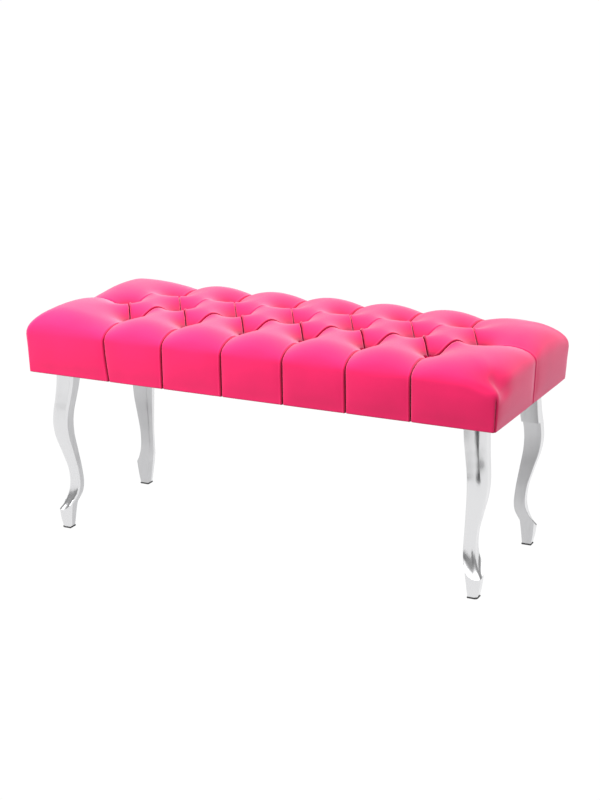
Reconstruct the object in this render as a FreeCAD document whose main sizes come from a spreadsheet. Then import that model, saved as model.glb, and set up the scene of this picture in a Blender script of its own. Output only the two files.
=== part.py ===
# Tufted velvet bench on four cast aluminium cabriole legs.
# Millimetres, +Z up. The origin is on the floor under the middle of the seat.
# X runs along the bench, and the front faces -Y.

import FreeCAD, Part
import math
import os
import re
from collections import namedtuple

import Sketcher

Vector = FreeCAD.Vector

# Driving dimensions: alias, millimetres, meaning
SIZES = [
    ("bench_length", 1000, "overall length over the velvet"),
    ("bench_depth", 424, "overall depth over the velvet"),
    ("end_panel", 107, "last tuft of the middle row to the end of the seat"),
    ("edge_panel", 116, "front and back tuft rows to the long faces"),
    ("cover_thickness", 2, "velvet with its backing"),
    ("fit_gap", 0.3, "gap between the soft layers"),
    ("wadding_thickness", 10, "padding between the frame and the velvet"),
    ("rail_thickness", 22, "timber rails"),
    ("rail_height", 50, "timber rails"),
    ("board_thickness", 12, "plywood under the foam"),
    ("foam_crown", 67, "top of the pillows above the board"),
    ("tuft_depth", 42, "top of the pillows down to a button's seat"),
    ("saddle_depth", 15, "top of the pillows down to the middle of a crease"),
    ("saddle_dip", 4, "drop of a pillow beside the middle of a crease"),
    ("edge_drop", 51, "top of the pillows down to the upright faces"),
    ("shoulder_run", 24, "width of the round-over"),
    ("shoulder_rise", 34, "height of the round-over"),
    ("shoulder_bulge", 5, "swell of the round-over"),
    ("pleat_valley", 17, "drop of the top along a pleat"),
    ("pleat_notch", 12, "drop of the round-over along a pleat"),
    ("pleat_inset", 3, "depth of a pleat in the upright faces"),
    ("pleat_width", 5, "width of a pleat in the end faces"),
    ("crease_width", 2, "width of a crease between the pillows"),
    ("draw_in", 2, "how far the lower edge is drawn in"),
    ("end_roll", 62, "length over which the top rolls down at the ends"),
    ("corner_radius", 16, "upright corners of the seat"),
    ("turn_under", 26, "velvet turned under the frame"),
    ("dust_cover_thickness", 1, "non-woven sheet under the seat"),
    ("dust_cover_margin", 16, "edge of the dust cover inside the seat's edge"),
    ("dust_cover_gap", 1, "dust cover round the legs"),
    ("button_diameter", 16, "tuft buttons"),
    ("button_height", 6, "tuft buttons"),
    ("button_gap", 1, "velvet round a button"),
    ("twine_diameter", 2, "tuft twines"),
    ("toggle_length", 20, "bars that hold the twines under the board"),
    ("toggle_width", 6, "bars that hold the twines under the board"),
    ("leg_margin_x", 7.5, "turned-under velvet to a leg along the bench"),
    ("leg_margin_y", 9.5, "turned-under velvet to a leg across the bench"),
    ("glide_thickness", 3, "pad under a foot"),
    ("glide_lip", 1, "how far a glide stands out round the sole"),
    ("foot_height", 39, "sole to the toe lip"),
    ("ankle_rise", 48, "toe lip to the ankle"),
    ("calf_rise", 75, "ankle to the calf"),
    ("knee_rise", 75, "calf to the knee"),
    ("thigh_rise", 57, "knee to the neck"),
    ("neck_rise", 50, "neck to the top of the leg"),
    ("block_height", 82, "square block at the top of a leg"),
    ("block_side", 41, "square block at the top of a leg"),
    ("neck_side", 38, "square section of the leg"),
    ("knee_side", 36, "square section of the leg"),
    ("calf_side", 28, "square section of the leg"),
    ("ankle_side", 22.5, "square section of the leg"),
    ("toe_side", 30, "square section of the leg"),
    ("sole_side", 19, "bottom of the foot"),
    ("neck_reach", 0.5, "outward shift of the section along X and Y"),
    ("knee_reach", 11.3, "outward shift of the section along X and Y"),
    ("calf_reach", 1, "outward shift of the section along X and Y"),
    ("ankle_reach", -8, "outward shift of the section along X and Y"),
    ("toe_reach", 5, "outward shift of the section along X and Y"),
    ("sole_reach", 5, "outward shift of the section along X and Y"),
    ("block_radius", 5, "outer corner of the section"),
    ("neck_radius", 5, "outer corner of the section"),
    ("knee_radius", 14, "outer corner of the section"),
    ("calf_radius", 10, "outer corner of the section"),
    ("ankle_radius", 6, "outer corner of the section"),
    ("toe_radius", 11, "outer corner of the section"),
    ("foot_radius", 8, "outer corner of the section"),
    ("stud_diameter", 8, "threaded stud between leg and frame"),
    ("stud_in_leg", 30, "length of the stud in the leg"),
    ("stud_in_block", 28, "length of the stud in the corner block"),
    ("insert_diameter", 12, "threaded insert in a corner block"),
    ("insert_length", 25, "threaded insert in a corner block"),
    ("corner_block_side", 62, "timber block in a corner of the frame"),
    ("corner_block_chamfer", 20, "cut-off inner corner of the block"),
    ("screw_diameter", 4, "wood screws"),
    ("screw_head", 8, "countersunk heads"),
    ("screw_head_height", 3, "countersunk heads"),
    ("rail_screw_length", 60, "long rails into end rails and cross rails"),
    ("block_screw_length", 50, "rails into corner blocks"),
    ("board_screw_length", 35, "board into rails"),
    ("screw_edge", 12, "screws to the edges of the rails"),
    ("block_screw_margin", 5, "block screws to the threaded inserts"),
    ("block_screw_step", 6, "block screws above and below the middle of the rails"),
    ("cross_rail_pitches", 1.25, "cross rails from the middle, counted in tuft pitches"),
]

# Tufts in the middle row: the two outer rows have one less
MIDDLE_TUFTS = 7

# Places worked out from the driving dimensions: alias, formula
PLACES = [
    ("floor_level", "0"),
    ("half_length", "bench_length / 2"),
    ("half_depth", "bench_depth / 2"),
    ("tuft_span", "half_length - end_panel"),
    ("tuft_pitch", f"2 * tuft_span / {MIDDLE_TUFTS - 1}"),
    ("tuft_row", "half_depth - edge_panel"),
    ("toe_level", "glide_thickness + foot_height"),
    ("ankle_level", "toe_level + ankle_rise"),
    ("calf_level", "ankle_level + calf_rise"),
    ("knee_level", "calf_level + knee_rise"),
    ("neck_level", "knee_level + thigh_rise"),
    ("frame_bottom", "neck_level + neck_rise"),
    ("block_bottom", "frame_bottom - block_height"),
    ("block_reach", "0"),
    ("seat_bottom", "frame_bottom - cover_thickness"),
    ("rail_top", "frame_bottom + rail_height"),
    ("board_top", "rail_top + board_thickness"),
    ("crown_level", "board_top + foam_crown"),
    ("edge_level", "crown_level - edge_drop"),
    ("tuft_level", "crown_level - tuft_depth"),
    ("frame_half_length", "half_length - cover_thickness - wadding_thickness"),
    ("frame_half_depth", "half_depth - cover_thickness - wadding_thickness"),
    ("inner_half_length", "frame_half_length - rail_thickness"),
    ("inner_half_depth", "frame_half_depth - rail_thickness"),
    ("leg_x", "half_length - turn_under - leg_margin_x - block_side / 2"),
    ("leg_y", "half_depth - turn_under - leg_margin_y - block_side / 2"),
    ("cross_rail_x", "tuft_pitch * cross_rail_pitches"),
    ("upper_screw_level", "rail_top - screw_edge"),
    ("lower_screw_level", "frame_bottom + screw_edge"),
    ("rail_middle", "frame_bottom + rail_height / 2"),
    ("block_screw_x", "leg_x - insert_diameter / 2 - block_screw_margin"),
    ("block_screw_y", "leg_y - insert_diameter / 2 - block_screw_margin"),
]

# Flats that stand for the round of a small fastener, and for the round of a twine
FLATS = 6
TWINE_FLATS = 4

# Chords of the rounded outer corner of a leg
LEG_CHORDS = 3

# Chords of the arcs across the seat: the round-over, the panel up to the outer crease and the middle pillow
SHOULDER_CHORDS = 2
PANEL_CHORDS = 3
PILLOW_CHORDS = 4

# Stations of a rolled end, from the end face inwards as shares of the roll, and how square the roll is
END_SHARES = (0, 0.07, 0.25, 0.55, 1)
END_ROUNDNESS = 2.2
LEAST_LIFT = 0.05

# Least swell of an arc across the seat
LEAST_BULGE = 0.3

# Depth of an upright pleat beside its fold and halfway to the next, as shares of the full depth
PLEAT_BESIDE = 0.6
PLEAT_HALFWAY = 0.15

# A station along the seat: its place, the kind of crease there, the share of an upright pleat's depth,
# the lift of the top above the upright faces and the inset of a rounded corner in plan
Station = namedtuple("Station", "x crease pleat lift corner")

# The four corners: name, side along X, side along Y, turn of the leg about Z
CORNERS = [
    ("front_left", -1, -1, 180),
    ("front_right", 1, -1, 270),
    ("back_right", 1, 1, 0),
    ("back_left", -1, 1, 90),
]

doc = FreeCAD.newDocument("bench")
sheet = doc.addObject("Spreadsheet::Sheet", "Sizes")
nodes = []


def fill_sheet():
    """Driving numbers first, then the places that follow from them."""
    row = 1
    for alias, number, meaning in SIZES:
        sheet.set(f"A{row}", meaning)
        sheet.set(f"B{row}", str(number))
        sheet.setAlias(f"B{row}", alias)
        row += 1
    for alias, formula in PLACES:
        sheet.set(f"B{row}", f"={formula}")
        sheet.setAlias(f"B{row}", alias)
        row += 1
    doc.recompute()


def size(alias):
    """A number of the sheet."""
    return float(sheet.get(alias))


def bind(item, name, formula):
    """Ties a property to the sheet. Every word of the formula is an alias."""
    item.setExpression(name, re.sub(r"[a-z]\w*", r"Sizes.\g<0>", formula))


def keep(item, label):
    """Marks an object as a finished sub-part."""
    item.Label = label
    nodes.append(item)
    return item


def box(name, length, width, height, corner):
    """A box bound to the sheet, with its lowest corner at three formulas."""
    item = doc.addObject("Part::Box", name)
    bind(item, "Length", length)
    bind(item, "Width", width)
    bind(item, "Height", height)
    for axis, formula in zip("xyz", corner):
        bind(item, f"Placement.Base.{axis}", formula)
    return item


def feature(name, shape):
    """An object with a shape of its own."""
    item = doc.addObject("Part::Feature", name)
    item.Shape = shape
    item.Placement = FreeCAD.Placement()
    return item


def cut(name, base, tool):
    """Base less tool."""
    item = doc.addObject("Part::Cut", name)
    item.Base = base
    item.Tool = tool
    return item


def faceted_loft(outlines):
    """A solid of flat triangles between neighbouring outlines with equal numbers of points.

    Each four-sided patch is split along its higher diagonal, so that pillows swell the same way on all sides.
    """
    count = len(outlines[0])
    points = [point for outline in outlines for point in outline]
    facets = []
    for ring in range(len(outlines) - 1):
        low = ring * count
        high = low + count
        for i in range(count):
            j = (i + 1) % count
            rising = points[low + i].z + points[high + j].z
            falling = points[low + j].z + points[high + i].z
            if rising >= falling:
                facets.append((low + i, low + j, high + j))
                facets.append((low + i, high + j, high + i))
            else:
                facets.append((low + i, low + j, high + i))
                facets.append((low + j, high + j, high + i))
    last = len(points) - count
    for i in range(1, count - 1):
        facets.append((0, i + 1, i))
        facets.append((last, last + i, last + i + 1))
    tolerance = 0.001
    skin = Part.Shape()
    skin.makeShapeFromMesh((points, facets), tolerance)
    solid = Part.Solid(Part.Shell(skin.Faces))
    if solid.Volume < 0:
        solid.reverse()
    return solid.removeSplitter()


def ring_of(sides, radius, level):
    """A regular outline about the Z axis."""
    turn = 2 * math.pi / sides
    return [
        Vector(radius * math.cos(turn * i), radius * math.sin(turn * i), level) for i in range(sides)
    ]


# Seat form


def tuft_places():
    """Centres of the tufts: a middle row and two outer rows, half a pitch along."""
    pitch = size("tuft_pitch")
    row = size("tuft_row")
    span = size("tuft_span")
    places = [(i * pitch - span, 0) for i in range(MIDDLE_TUFTS)]
    for y in (-row, row):
        places += [((i + 0.5) * pitch - span, y) for i in range(MIDDLE_TUFTS - 1)]
    return places


def pit_radius():
    """Floor of a tuft: the button with a little velvet round it."""
    return size("button_diameter") / 2 + size("button_gap")


def chord_points(start, end, bulge, count):
    """Points after start up to end, on the arc over a chord in the YZ plane."""
    run = end[0] - start[0]
    rise = end[1] - start[1]
    chord = math.hypot(run, rise)
    along = (run / chord, rise / chord)
    outward = (along[1], -along[0]) if run < 0 else (-along[1], along[0])
    radius = chord ** 2 / (8 * bulge) + bulge / 2
    half_angle = 2 * math.atan(2 * bulge / chord)
    points = []
    for i in range(1, count + 1):
        angle = half_angle * (2 * i / count - 1)
        step = chord / 2 + radius * math.sin(angle)
        lift = radius * math.cos(angle) - radius + bulge
        points.append((start[0] + along[0] * step + outward[0] * lift,
                       start[1] + along[1] * step + outward[1] * lift))
    return points


def crease_across(kind):
    """A crease across the seat: outer and inner edge, its drop and the drop midway between its two sides."""
    row = size("tuft_row")
    pit = pit_radius()
    crease = size("crease_width") / 2
    tuft = size("tuft_depth")
    valley = size("pleat_valley")
    creases = {
        "end pleat": (size("pleat_width") / 2, crease / 2, valley, valley),
        "middle tuft": (pit, crease / 2, tuft, tuft),
        "saddle": (row / 2 + crease, row / 2 - crease, size("saddle_depth"), size("saddle_dip")),
        "row tuft": (row + pit, row - pit, tuft, 0),
    }
    return creases[kind]


def seat_outline(station, inset):
    """The outline across the seat at a station, moved inwards by inset."""
    edge = size("edge_level")
    crown = size("crown_level")
    lift = station.lift
    pleat = station.pleat

    def level(drop):
        return edge + lift * (crown - drop - edge) - inset

    crease_out, crease_in, crease_drop, middle_drop = crease_across(station.crease)
    face_y = size("half_depth") - inset - station.corner - pleat * size("pleat_inset")
    foot = (face_y - size("draw_in"), size("seat_bottom") + inset)
    top_of_face = (face_y, edge - inset)
    shoulder_drop = size("edge_drop") - size("shoulder_rise") + pleat * size("pleat_notch")
    shoulder = (face_y - size("shoulder_run"), level(shoulder_drop))
    crease_level = level(crease_drop)
    shoulder_bulge = max(lift * size("shoulder_bulge"), LEAST_BULGE)
    panel_bulge = max(level(pleat * size("pleat_valley")) - (shoulder[1] + crease_level) / 2, LEAST_BULGE)
    pillow_bulge = max(level(middle_drop) - crease_level, LEAST_BULGE)

    half = [foot, top_of_face]
    half += chord_points(top_of_face, shoulder, shoulder_bulge, SHOULDER_CHORDS)
    half += chord_points(shoulder, (crease_out, crease_level), panel_bulge, PANEL_CHORDS)
    half.append((crease_in, crease_level))
    pillow = chord_points(half[-1], (-crease_in, crease_level), pillow_bulge, PILLOW_CHORDS)
    outline = half + pillow[:-1] + [(-y, z) for y, z in reversed(half)]
    return [Vector(station.x, y, z) for y, z in outline]


def end_stations(inset):
    """Stations of the rolled right-hand end, from the end face inwards."""
    radius = size("corner_radius")
    stations = []
    for share in END_SHARES:
        way = share * size("end_roll")
        lift = (1 - (1 - share) ** END_ROUNDNESS) ** (1 / END_ROUNDNESS)
        corner = radius - math.sqrt(radius ** 2 - max(0, radius - way) ** 2)
        x = size("half_length") - way - inset * (1 - share)
        stations.append(Station(x, "end pleat", 0, max(lift, LEAST_LIFT), corner))
    return stations


def seat_form(inset):
    """The tufted seat as one solid, its skin moved inwards by inset."""
    pitch = size("tuft_pitch")
    span = size("tuft_span")
    pit = pit_radius()
    ends = end_stations(inset)

    # One pitch, from a middle tuft to the next: way along, kind of crease, share of a pleat's depth
    pitch_steps = [
        (pit, "middle tuft", 0),
        (pitch / 4, "saddle", PLEAT_HALFWAY),
        (pitch / 2 - pit, "row tuft", PLEAT_BESIDE),
        (pitch / 2, "row tuft", 1),
        (pitch / 2 + pit, "row tuft", PLEAT_BESIDE),
        (pitch * 3 / 4, "saddle", PLEAT_HALFWAY),
        (pitch - pit, "middle tuft", 0),
    ]
    stations = [end._replace(x=-end.x) for end in ends]
    stations.append(Station(-span - pit, "middle tuft", 0, 1, 0))
    for i in range(MIDDLE_TUFTS - 1):
        start = i * pitch - span
        stations += [Station(start + way, crease, pleat, 1, 0) for way, crease, pleat in pitch_steps]
    stations.append(Station(span + pit, "middle tuft", 0, 1, 0))
    stations += reversed(ends)
    solid = faceted_loft([seat_outline(station, inset) for station in stations])
    return solid.cut(upright_pleats(inset)).Solids[0]


def upright_pleats(inset):
    """Wedges that fold the velvet in at the middle of each end and at the four upright corners."""
    depth = size("pleat_inset")
    width = size("pleat_width")
    half_length = size("half_length") - inset
    half_depth = size("half_depth") - inset
    low = size("seat_bottom") - depth
    height = size("edge_level") + size("shoulder_rise") / 2 - low
    outline = [Vector(-depth, 0, 0), Vector(depth, width, 0), Vector(depth, -width, 0)]
    wedge = Part.Face(Part.makePolygon(outline + outline[:1])).extrude(Vector(0, 0, height))
    bevel = size("corner_radius") * (1 - math.sqrt(0.5))
    wedges = []
    for side in (-1, 1):
        places = [(half_length, 0, 0)]
        for across in (-1, 1):
            places.append((half_length - bevel, across * (half_depth - bevel), across * 45))
        for x, y, turn in places:
            if side < 0:
                x, turn = -x, 180 - turn
            copy = wedge.copy()
            copy.Placement = FreeCAD.Placement(Vector(x, y, low), FreeCAD.Rotation(Vector(0, 0, 1), turn))
            wedges.append(copy)
    return wedges


# Fasteners


def screw(length):
    """A countersunk wood screw, head up at the origin."""
    head = size("screw_head") / 2
    shank = size("screw_diameter") / 2
    return faceted_loft([
        ring_of(FLATS, shank, -length),
        ring_of(FLATS, shank, -size("screw_head_height")),
        ring_of(FLATS, head, 0),
    ])


def placed(shape, point, axis):
    """A copy of a shape with its Z axis along axis and its origin at point."""
    copy = shape.copy()
    copy.Placement = FreeCAD.Placement(point, FreeCAD.Rotation(Vector(0, 0, 1), axis))
    return copy


def rail_screws():
    """Two through each long rail into every end rail and cross rail."""
    master = screw(size("rail_screw_length"))
    end_x = size("frame_half_length") - size("rail_thickness") / 2
    cross_x = size("cross_rail_x")
    shapes = []
    for side in (-1, 1):
        for x in (-end_x, -cross_x, cross_x, end_x):
            for z in (size("lower_screw_level"), size("upper_screw_level")):
                point = Vector(x, side * size("frame_half_depth"), z)
                shapes.append(placed(master, point, Vector(0, side, 0)))
    return keep(feature("RailScrews", Part.Compound(shapes)), "rail_screws")


def block_screws():
    """One through each rail into every corner block, past the threaded insert and the rail screws."""
    master = screw(size("block_screw_length"))
    middle = size("rail_middle")
    step = size("block_screw_step")
    shapes = []
    for name, side_x, side_y, turn in CORNERS:
        along = Vector(side_x * size("frame_half_length"), side_y * size("block_screw_y"), middle + step)
        across = Vector(side_x * size("block_screw_x"), side_y * size("frame_half_depth"), middle - step)
        shapes.append(placed(master, along, Vector(side_x, 0, 0)))
        shapes.append(placed(master, across, Vector(0, side_y, 0)))
    return keep(feature("BlockScrews", Part.Compound(shapes)), "block_screws")


def board_screws():
    """Down through the board into the long rails, beside the tufts, and into the end rails."""
    master = screw(size("board_screw_length"))
    middle_y = size("frame_half_depth") - size("rail_thickness") / 2
    end_x = size("frame_half_length") - size("rail_thickness") / 2
    pitches_along = (-2.5, -0.5, 0.5, 2.5)
    places = [(-end_x, 0), (end_x, 0)]
    for y in (-middle_y, middle_y):
        places += [(size("tuft_pitch") * step, y) for step in pitches_along]
    shapes = [placed(master, Vector(x, y, size("board_top")), Vector(0, 0, 1)) for x, y in places]
    return keep(feature("BoardScrews", Part.Compound(shapes)), "board_screws")


def leg_studs():
    """A threaded stud from each leg up into its corner block."""
    low = size("frame_bottom") - size("stud_in_leg")
    high = size("frame_bottom") + size("stud_in_block")
    radius = size("stud_diameter") / 2
    master = faceted_loft([ring_of(FLATS, radius, low), ring_of(FLATS, radius, high)])
    return keep(feature("LegStuds", Part.Compound(at_legs(master))), "leg_studs")


def threaded_inserts():
    """A sleeve round each stud, pressed into the corner block."""
    low = size("frame_bottom")
    high = low + size("insert_length")
    outer = size("insert_diameter") / 2
    inner = size("stud_diameter") / 2
    barrel = faceted_loft([ring_of(FLATS, outer, low), ring_of(FLATS, outer, high)])
    hole = faceted_loft([ring_of(FLATS, inner, low), ring_of(FLATS, inner, high)])
    sleeve = barrel.cut(hole).Solids[0]
    return keep(feature("ThreadedInserts", Part.Compound(at_legs(sleeve))), "threaded_inserts")


def at_legs(shape):
    """Copies of a shape over the four legs."""
    up = Vector(0, 0, 1)
    places = [(side_x * size("leg_x"), side_y * size("leg_y")) for name, side_x, side_y, turn in CORNERS]
    return [placed(shape, Vector(x, y, 0), up) for x, y in places]


# Tufting


def tuft_buttons():
    """A covered button on the floor of every tuft."""
    radius = size("button_diameter") / 2
    height = size("button_height")
    crown_share = 0.6
    master = faceted_loft([
        ring_of(FLATS, radius, 0),
        ring_of(FLATS, radius, height / 2),
        ring_of(FLATS, radius * crown_share, height),
    ])
    up = Vector(0, 0, 1)
    shapes = [placed(master, Vector(x, y, size("tuft_level")), up) for x, y in tuft_places()]
    return keep(feature("TuftButtons", Part.Compound(shapes)), "tuft_buttons")


def tuft_twines():
    """A twine from each button down through the foam and the board."""
    low = size("rail_top")
    radius = size("twine_diameter") / 2
    high = size("tuft_level")
    master = faceted_loft([ring_of(TWINE_FLATS, radius, low), ring_of(TWINE_FLATS, radius, high)])
    up = Vector(0, 0, 1)
    shapes = [placed(master, Vector(x, y, 0), up) for x, y in tuft_places()]
    return keep(feature("TuftTwines", Part.Compound(shapes)), "tuft_twines")


def twine_toggles():
    """A bar under the board on the end of each twine."""
    length = size("toggle_length")
    width = size("toggle_width")
    low = size("rail_top") - width
    shapes = []
    for x, y in tuft_places():
        shapes.append(Part.makeBox(length, width, width, Vector(x - length / 2, y - width / 2, low)))
    return keep(feature("TwineToggles", Part.Compound(shapes)), "twine_toggles")


# Soft layers


def velvet_cover(twines):
    """The tufted velvet, a thin shell turned under the frame."""
    outer = seat_form(0)
    inner = seat_form(size("cover_thickness"))
    turn_under = size("turn_under")
    thickness = size("cover_thickness")
    length = size("bench_length") - 2 * turn_under
    depth = size("bench_depth") - 2 * turn_under
    corner = Vector(-length / 2, -depth / 2, size("seat_bottom") - thickness)
    window = Part.makeBox(length, depth, 3 * thickness, corner)
    shell = outer.cut([inner, window] + twines.Shape.Solids).Solids[0]
    return keep(feature("VelvetCover", shell), "velvet_cover")


def padding_form():
    """What fills the velvet, a small gap inside it."""
    return seat_form(size("cover_thickness") + size("fit_gap"))


def slab(low, high):
    """Everything between two levels, wider than the bench."""
    length = 2 * size("bench_length")
    depth = 2 * size("bench_depth")
    return Part.makeBox(length, depth, high - low, Vector(-length / 2, -depth / 2, low))


def foam_core(filling, twines):
    """Foam above the board, pulled down at the tufts."""
    below = slab(0, size("board_top"))
    foam = filling.cut([below] + twines.Shape.Solids).Solids[0]
    return keep(feature("FoamCore", foam), "foam_core")


def side_wadding(filling):
    """Padding round the outside of the frame, under the foam."""
    band = filling.common(slab(size("frame_bottom"), size("board_top")))
    length = 2 * size("frame_half_length")
    depth = 2 * size("frame_half_depth")
    corner = Vector(-length / 2, -depth / 2, size("seat_bottom"))
    frame = Part.makeBox(length, depth, size("board_top"), corner)
    ring = Part.Compound(band.cut(frame).Solids)
    return keep(feature("SideWadding", ring), "side_wadding")


def dust_cover():
    """A thin sheet under the seat, trimmed round the legs."""
    sheet_box = box(
        "DustSheet",
        "bench_length - 2 * dust_cover_margin",
        "bench_depth - 2 * dust_cover_margin",
        "dust_cover_thickness",
        ("dust_cover_margin - half_length", "dust_cover_margin - half_depth",
         "seat_bottom - dust_cover_thickness"),
    )
    openings = []
    for name, side_x, side_y, turn in CORNERS:
        openings.append(box(
            f"Opening_{name}",
            "block_side + 2 * dust_cover_gap",
            "block_side + 2 * dust_cover_gap",
            "3 * dust_cover_thickness",
            (f"{side_x} * leg_x - block_side / 2 - dust_cover_gap",
             f"{side_y} * leg_y - block_side / 2 - dust_cover_gap",
             "seat_bottom - 2 * dust_cover_thickness"),
        ))
    tool = doc.addObject("Part::Compound", "LegOpenings")
    tool.Links = openings
    return keep(cut("DustCover", sheet_box, tool), "dust_cover")


# Timber


def rails(fasteners):
    """Two long rails, two end rails between them and two cross rails."""
    long_rails = (("front_rail", "-frame_half_depth"), ("back_rail", "inner_half_depth"))
    for label, y in long_rails:
        item = box(label + "_bar", "2 * frame_half_length", "rail_thickness", "rail_height",
                   ("-frame_half_length", y, "frame_bottom"))
        keep(cut(label, item, fasteners), label)
    short_rails = (
        ("left_rail", "-frame_half_length"),
        ("right_rail", "inner_half_length"),
        ("left_cross_rail", "-cross_rail_x - rail_thickness / 2"),
        ("right_cross_rail", "cross_rail_x - rail_thickness / 2"),
    )
    for label, x in short_rails:
        item = box(label + "_bar", "rail_thickness", "2 * inner_half_depth", "rail_height",
                   (x, "-inner_half_depth", "frame_bottom"))
        keep(cut(label, item, fasteners), label)


def seat_board(fasteners, twines):
    """Plywood over the frame, drilled for the twines and screwed down."""
    sheet_box = box("BoardSheet", "2 * frame_half_length", "2 * frame_half_depth", "board_thickness",
                    ("-frame_half_length", "-frame_half_depth", "rail_top"))
    drilled = cut("BoardDrilled", sheet_box, twines)
    return keep(cut("SeatBoard", drilled, fasteners), "seat_board")


def new_sketch(body, name, level):
    """A sketch in a level plane of its own body."""
    plane = [item for item in body.Origin.OriginFeatures if item.Role == "XY_Plane"][0]
    sketch = body.newObject("Sketcher::SketchObject", name)
    sketch.AttachmentSupport = [(plane, "")]
    sketch.MapMode = "FlatFace"
    bind(sketch, "AttachmentOffset.Base.z", level)
    return sketch


def constrain(sketch, *parts):
    """Adds a constraint that holds no size."""
    sketch.addConstraint(Sketcher.Constraint(*parts))


def dimension(sketch, name, formula, *parts):
    """Adds a named size to a sketch and ties it to the sheet."""
    number = float(sheet.evalExpression(formula))
    index = sketch.addConstraint(Sketcher.Constraint(*parts, number))
    sketch.renameConstraint(index, name)
    bind(sketch, f"Constraints.{name}", formula)


def square_section(body, name, level, side, reach, radius):
    """A square round the leg's axis, shifted outwards by reach, its outer corner rounded by chords."""
    sketch = new_sketch(body, name, level)
    along = [side]
    across = ["0"]
    for i in range(LEG_CHORDS + 1):
        angle = math.pi / 2 * i / LEG_CHORDS
        along.append(f"({side}) - {radius} * {1 - math.cos(angle):.6f}")
        across.append(f"({side}) - {radius} * {1 - math.sin(angle):.6f}")
    along.append("0")
    across.append(side)
    shift = f"({side}) / 2 - {reach}"
    start = -float(sheet.evalExpression(shift))
    points = [Vector(start, start, 0)]
    for x, y in zip(along, across):
        points.append(Vector(start + sheet.evalExpression(x), start + sheet.evalExpression(y), 0))
    count = len(points)
    for i in range(count):
        sketch.addGeometry(Part.LineSegment(points[i], points[(i + 1) % count]))
    for i in range(count):
        constrain(sketch, "Coincident", i, 2, (i + 1) % count, 1)
    constrain(sketch, "Horizontal", 0)
    constrain(sketch, "Vertical", count - 1)
    dimension(sketch, "shift_x", shift, "DistanceX", 0, 1, -1, 1)
    dimension(sketch, "shift_y", shift, "DistanceY", 0, 1, -1, 1)
    for i in range(1, count):
        if i < count - 1:
            dimension(sketch, f"along_{i}", along[i - 1], "DistanceX", 0, 1, i, 1)
        if i > 1:
            dimension(sketch, f"across_{i}", across[i - 1], "DistanceY", 0, 1, i, 1)
    return sketch


def corner_body(name, corner, x, y):
    """A body at one corner of the bench, turned so that its X and Y point outwards."""
    place, side_x, side_y, turn = corner
    body = doc.addObject("PartDesign::Body", f"{place}_{name}_body")
    body.Placement = FreeCAD.Placement(Vector(0, 0, 0), FreeCAD.Rotation(Vector(0, 0, 1), turn))
    bind(body, "Placement.Base.x", f"{side_x} * {x}")
    bind(body, "Placement.Base.y", f"{side_y} * {y}")
    return body


def corner_blocks(fasteners):
    """A five-sided block glued and screwed into each corner of the frame, under the board."""
    side = size("corner_block_side")
    straight = side - size("corner_block_chamfer")
    outline = [(0, 0), (-side, 0), (-side, -straight), (-straight, -side), (0, -side), (0, 0)]
    points = [Vector(x, y, 0) for x, y in outline]
    for corner in CORNERS:
        label = f"{corner[0]}_corner_block"
        body = corner_body("corner_block", corner, "inner_half_length", "inner_half_depth")
        sketch = new_sketch(body, label + "_outline", "frame_bottom")
        for start, end in zip(points, points[1:]):
            sketch.addGeometry(Part.LineSegment(start, end))
        line_count = len(outline) - 1
        for line in range(line_count):
            constrain(sketch, "Coincident", line, 2, (line + 1) % line_count, 1)
        constrain(sketch, "Horizontal", 0)
        constrain(sketch, "Vertical", 1)
        constrain(sketch, "Horizontal", 3)
        constrain(sketch, "Vertical", 4)
        constrain(sketch, "Coincident", 0, 1, -1, 1)
        dimension(sketch, "side_x", "corner_block_side", "DistanceX", 0, 2, 0, 1)
        dimension(sketch, "side_y", "corner_block_side", "DistanceY", 4, 1, 4, 2)
        straight_side = "corner_block_side - corner_block_chamfer"
        dimension(sketch, "straight_y", straight_side, "DistanceY", 1, 2, 1, 1)
        dimension(sketch, "straight_x", straight_side, "DistanceX", 3, 1, 3, 2)
        pad = body.newObject("PartDesign::Pad", label + "_pad")
        pad.Profile = sketch
        bind(pad, "Length", "rail_height")
        keep(cut(label, body, fasteners), label)


# Legs


def loft_through(body, name, sketches):
    """A smooth solid through level sections."""
    loft = body.newObject("PartDesign::AdditiveLoft", name)
    loft.Profile = sketches[0]
    loft.Sections = sketches[1:]
    return loft


def legs(fasteners):
    """Cast cabriole legs: square block, knee, calf, ankle and toe lip over a tapered foot."""
    for corner in CORNERS:
        label = f"{corner[0]}_leg"
        body = corner_body("leg", corner, "leg_x", "leg_y")
        sections = []
        for part in ("toe", "ankle", "calf", "knee", "neck"):
            sections.append(square_section(
                body, f"{label}_{part}", f"{part}_level", f"{part}_side", f"{part}_reach", f"{part}_radius"))
        loft_through(body, label + "_shank", sections)
        sole = square_section(
            body, label + "_sole", "glide_thickness", "sole_side", "sole_reach", "foot_radius")
        loft_through(body, label + "_foot", [sole, sections[0]])
        outline = square_section(
            body, label + "_block", "block_bottom", "block_side", "block_reach", "block_radius")
        pad = body.newObject("PartDesign::Pad", label + "_block_pad")
        pad.Profile = outline
        bind(pad, "Length", "block_height")
        keep(cut(label, body, fasteners), label)


def glides():
    """A thin pad under each foot, a little wider than the sole."""
    for corner in CORNERS:
        label = f"{corner[0]}_glide"
        body = corner_body("glide", corner, "leg_x", "leg_y")
        outline = square_section(
            body, label + "_outline", "floor_level", "sole_side + 2 * glide_lip", "sole_reach", "foot_radius")
        pad = body.newObject("PartDesign::Pad", label + "_pad")
        pad.Profile = outline
        bind(pad, "Length", "glide_thickness")
        keep(body, label)


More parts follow.
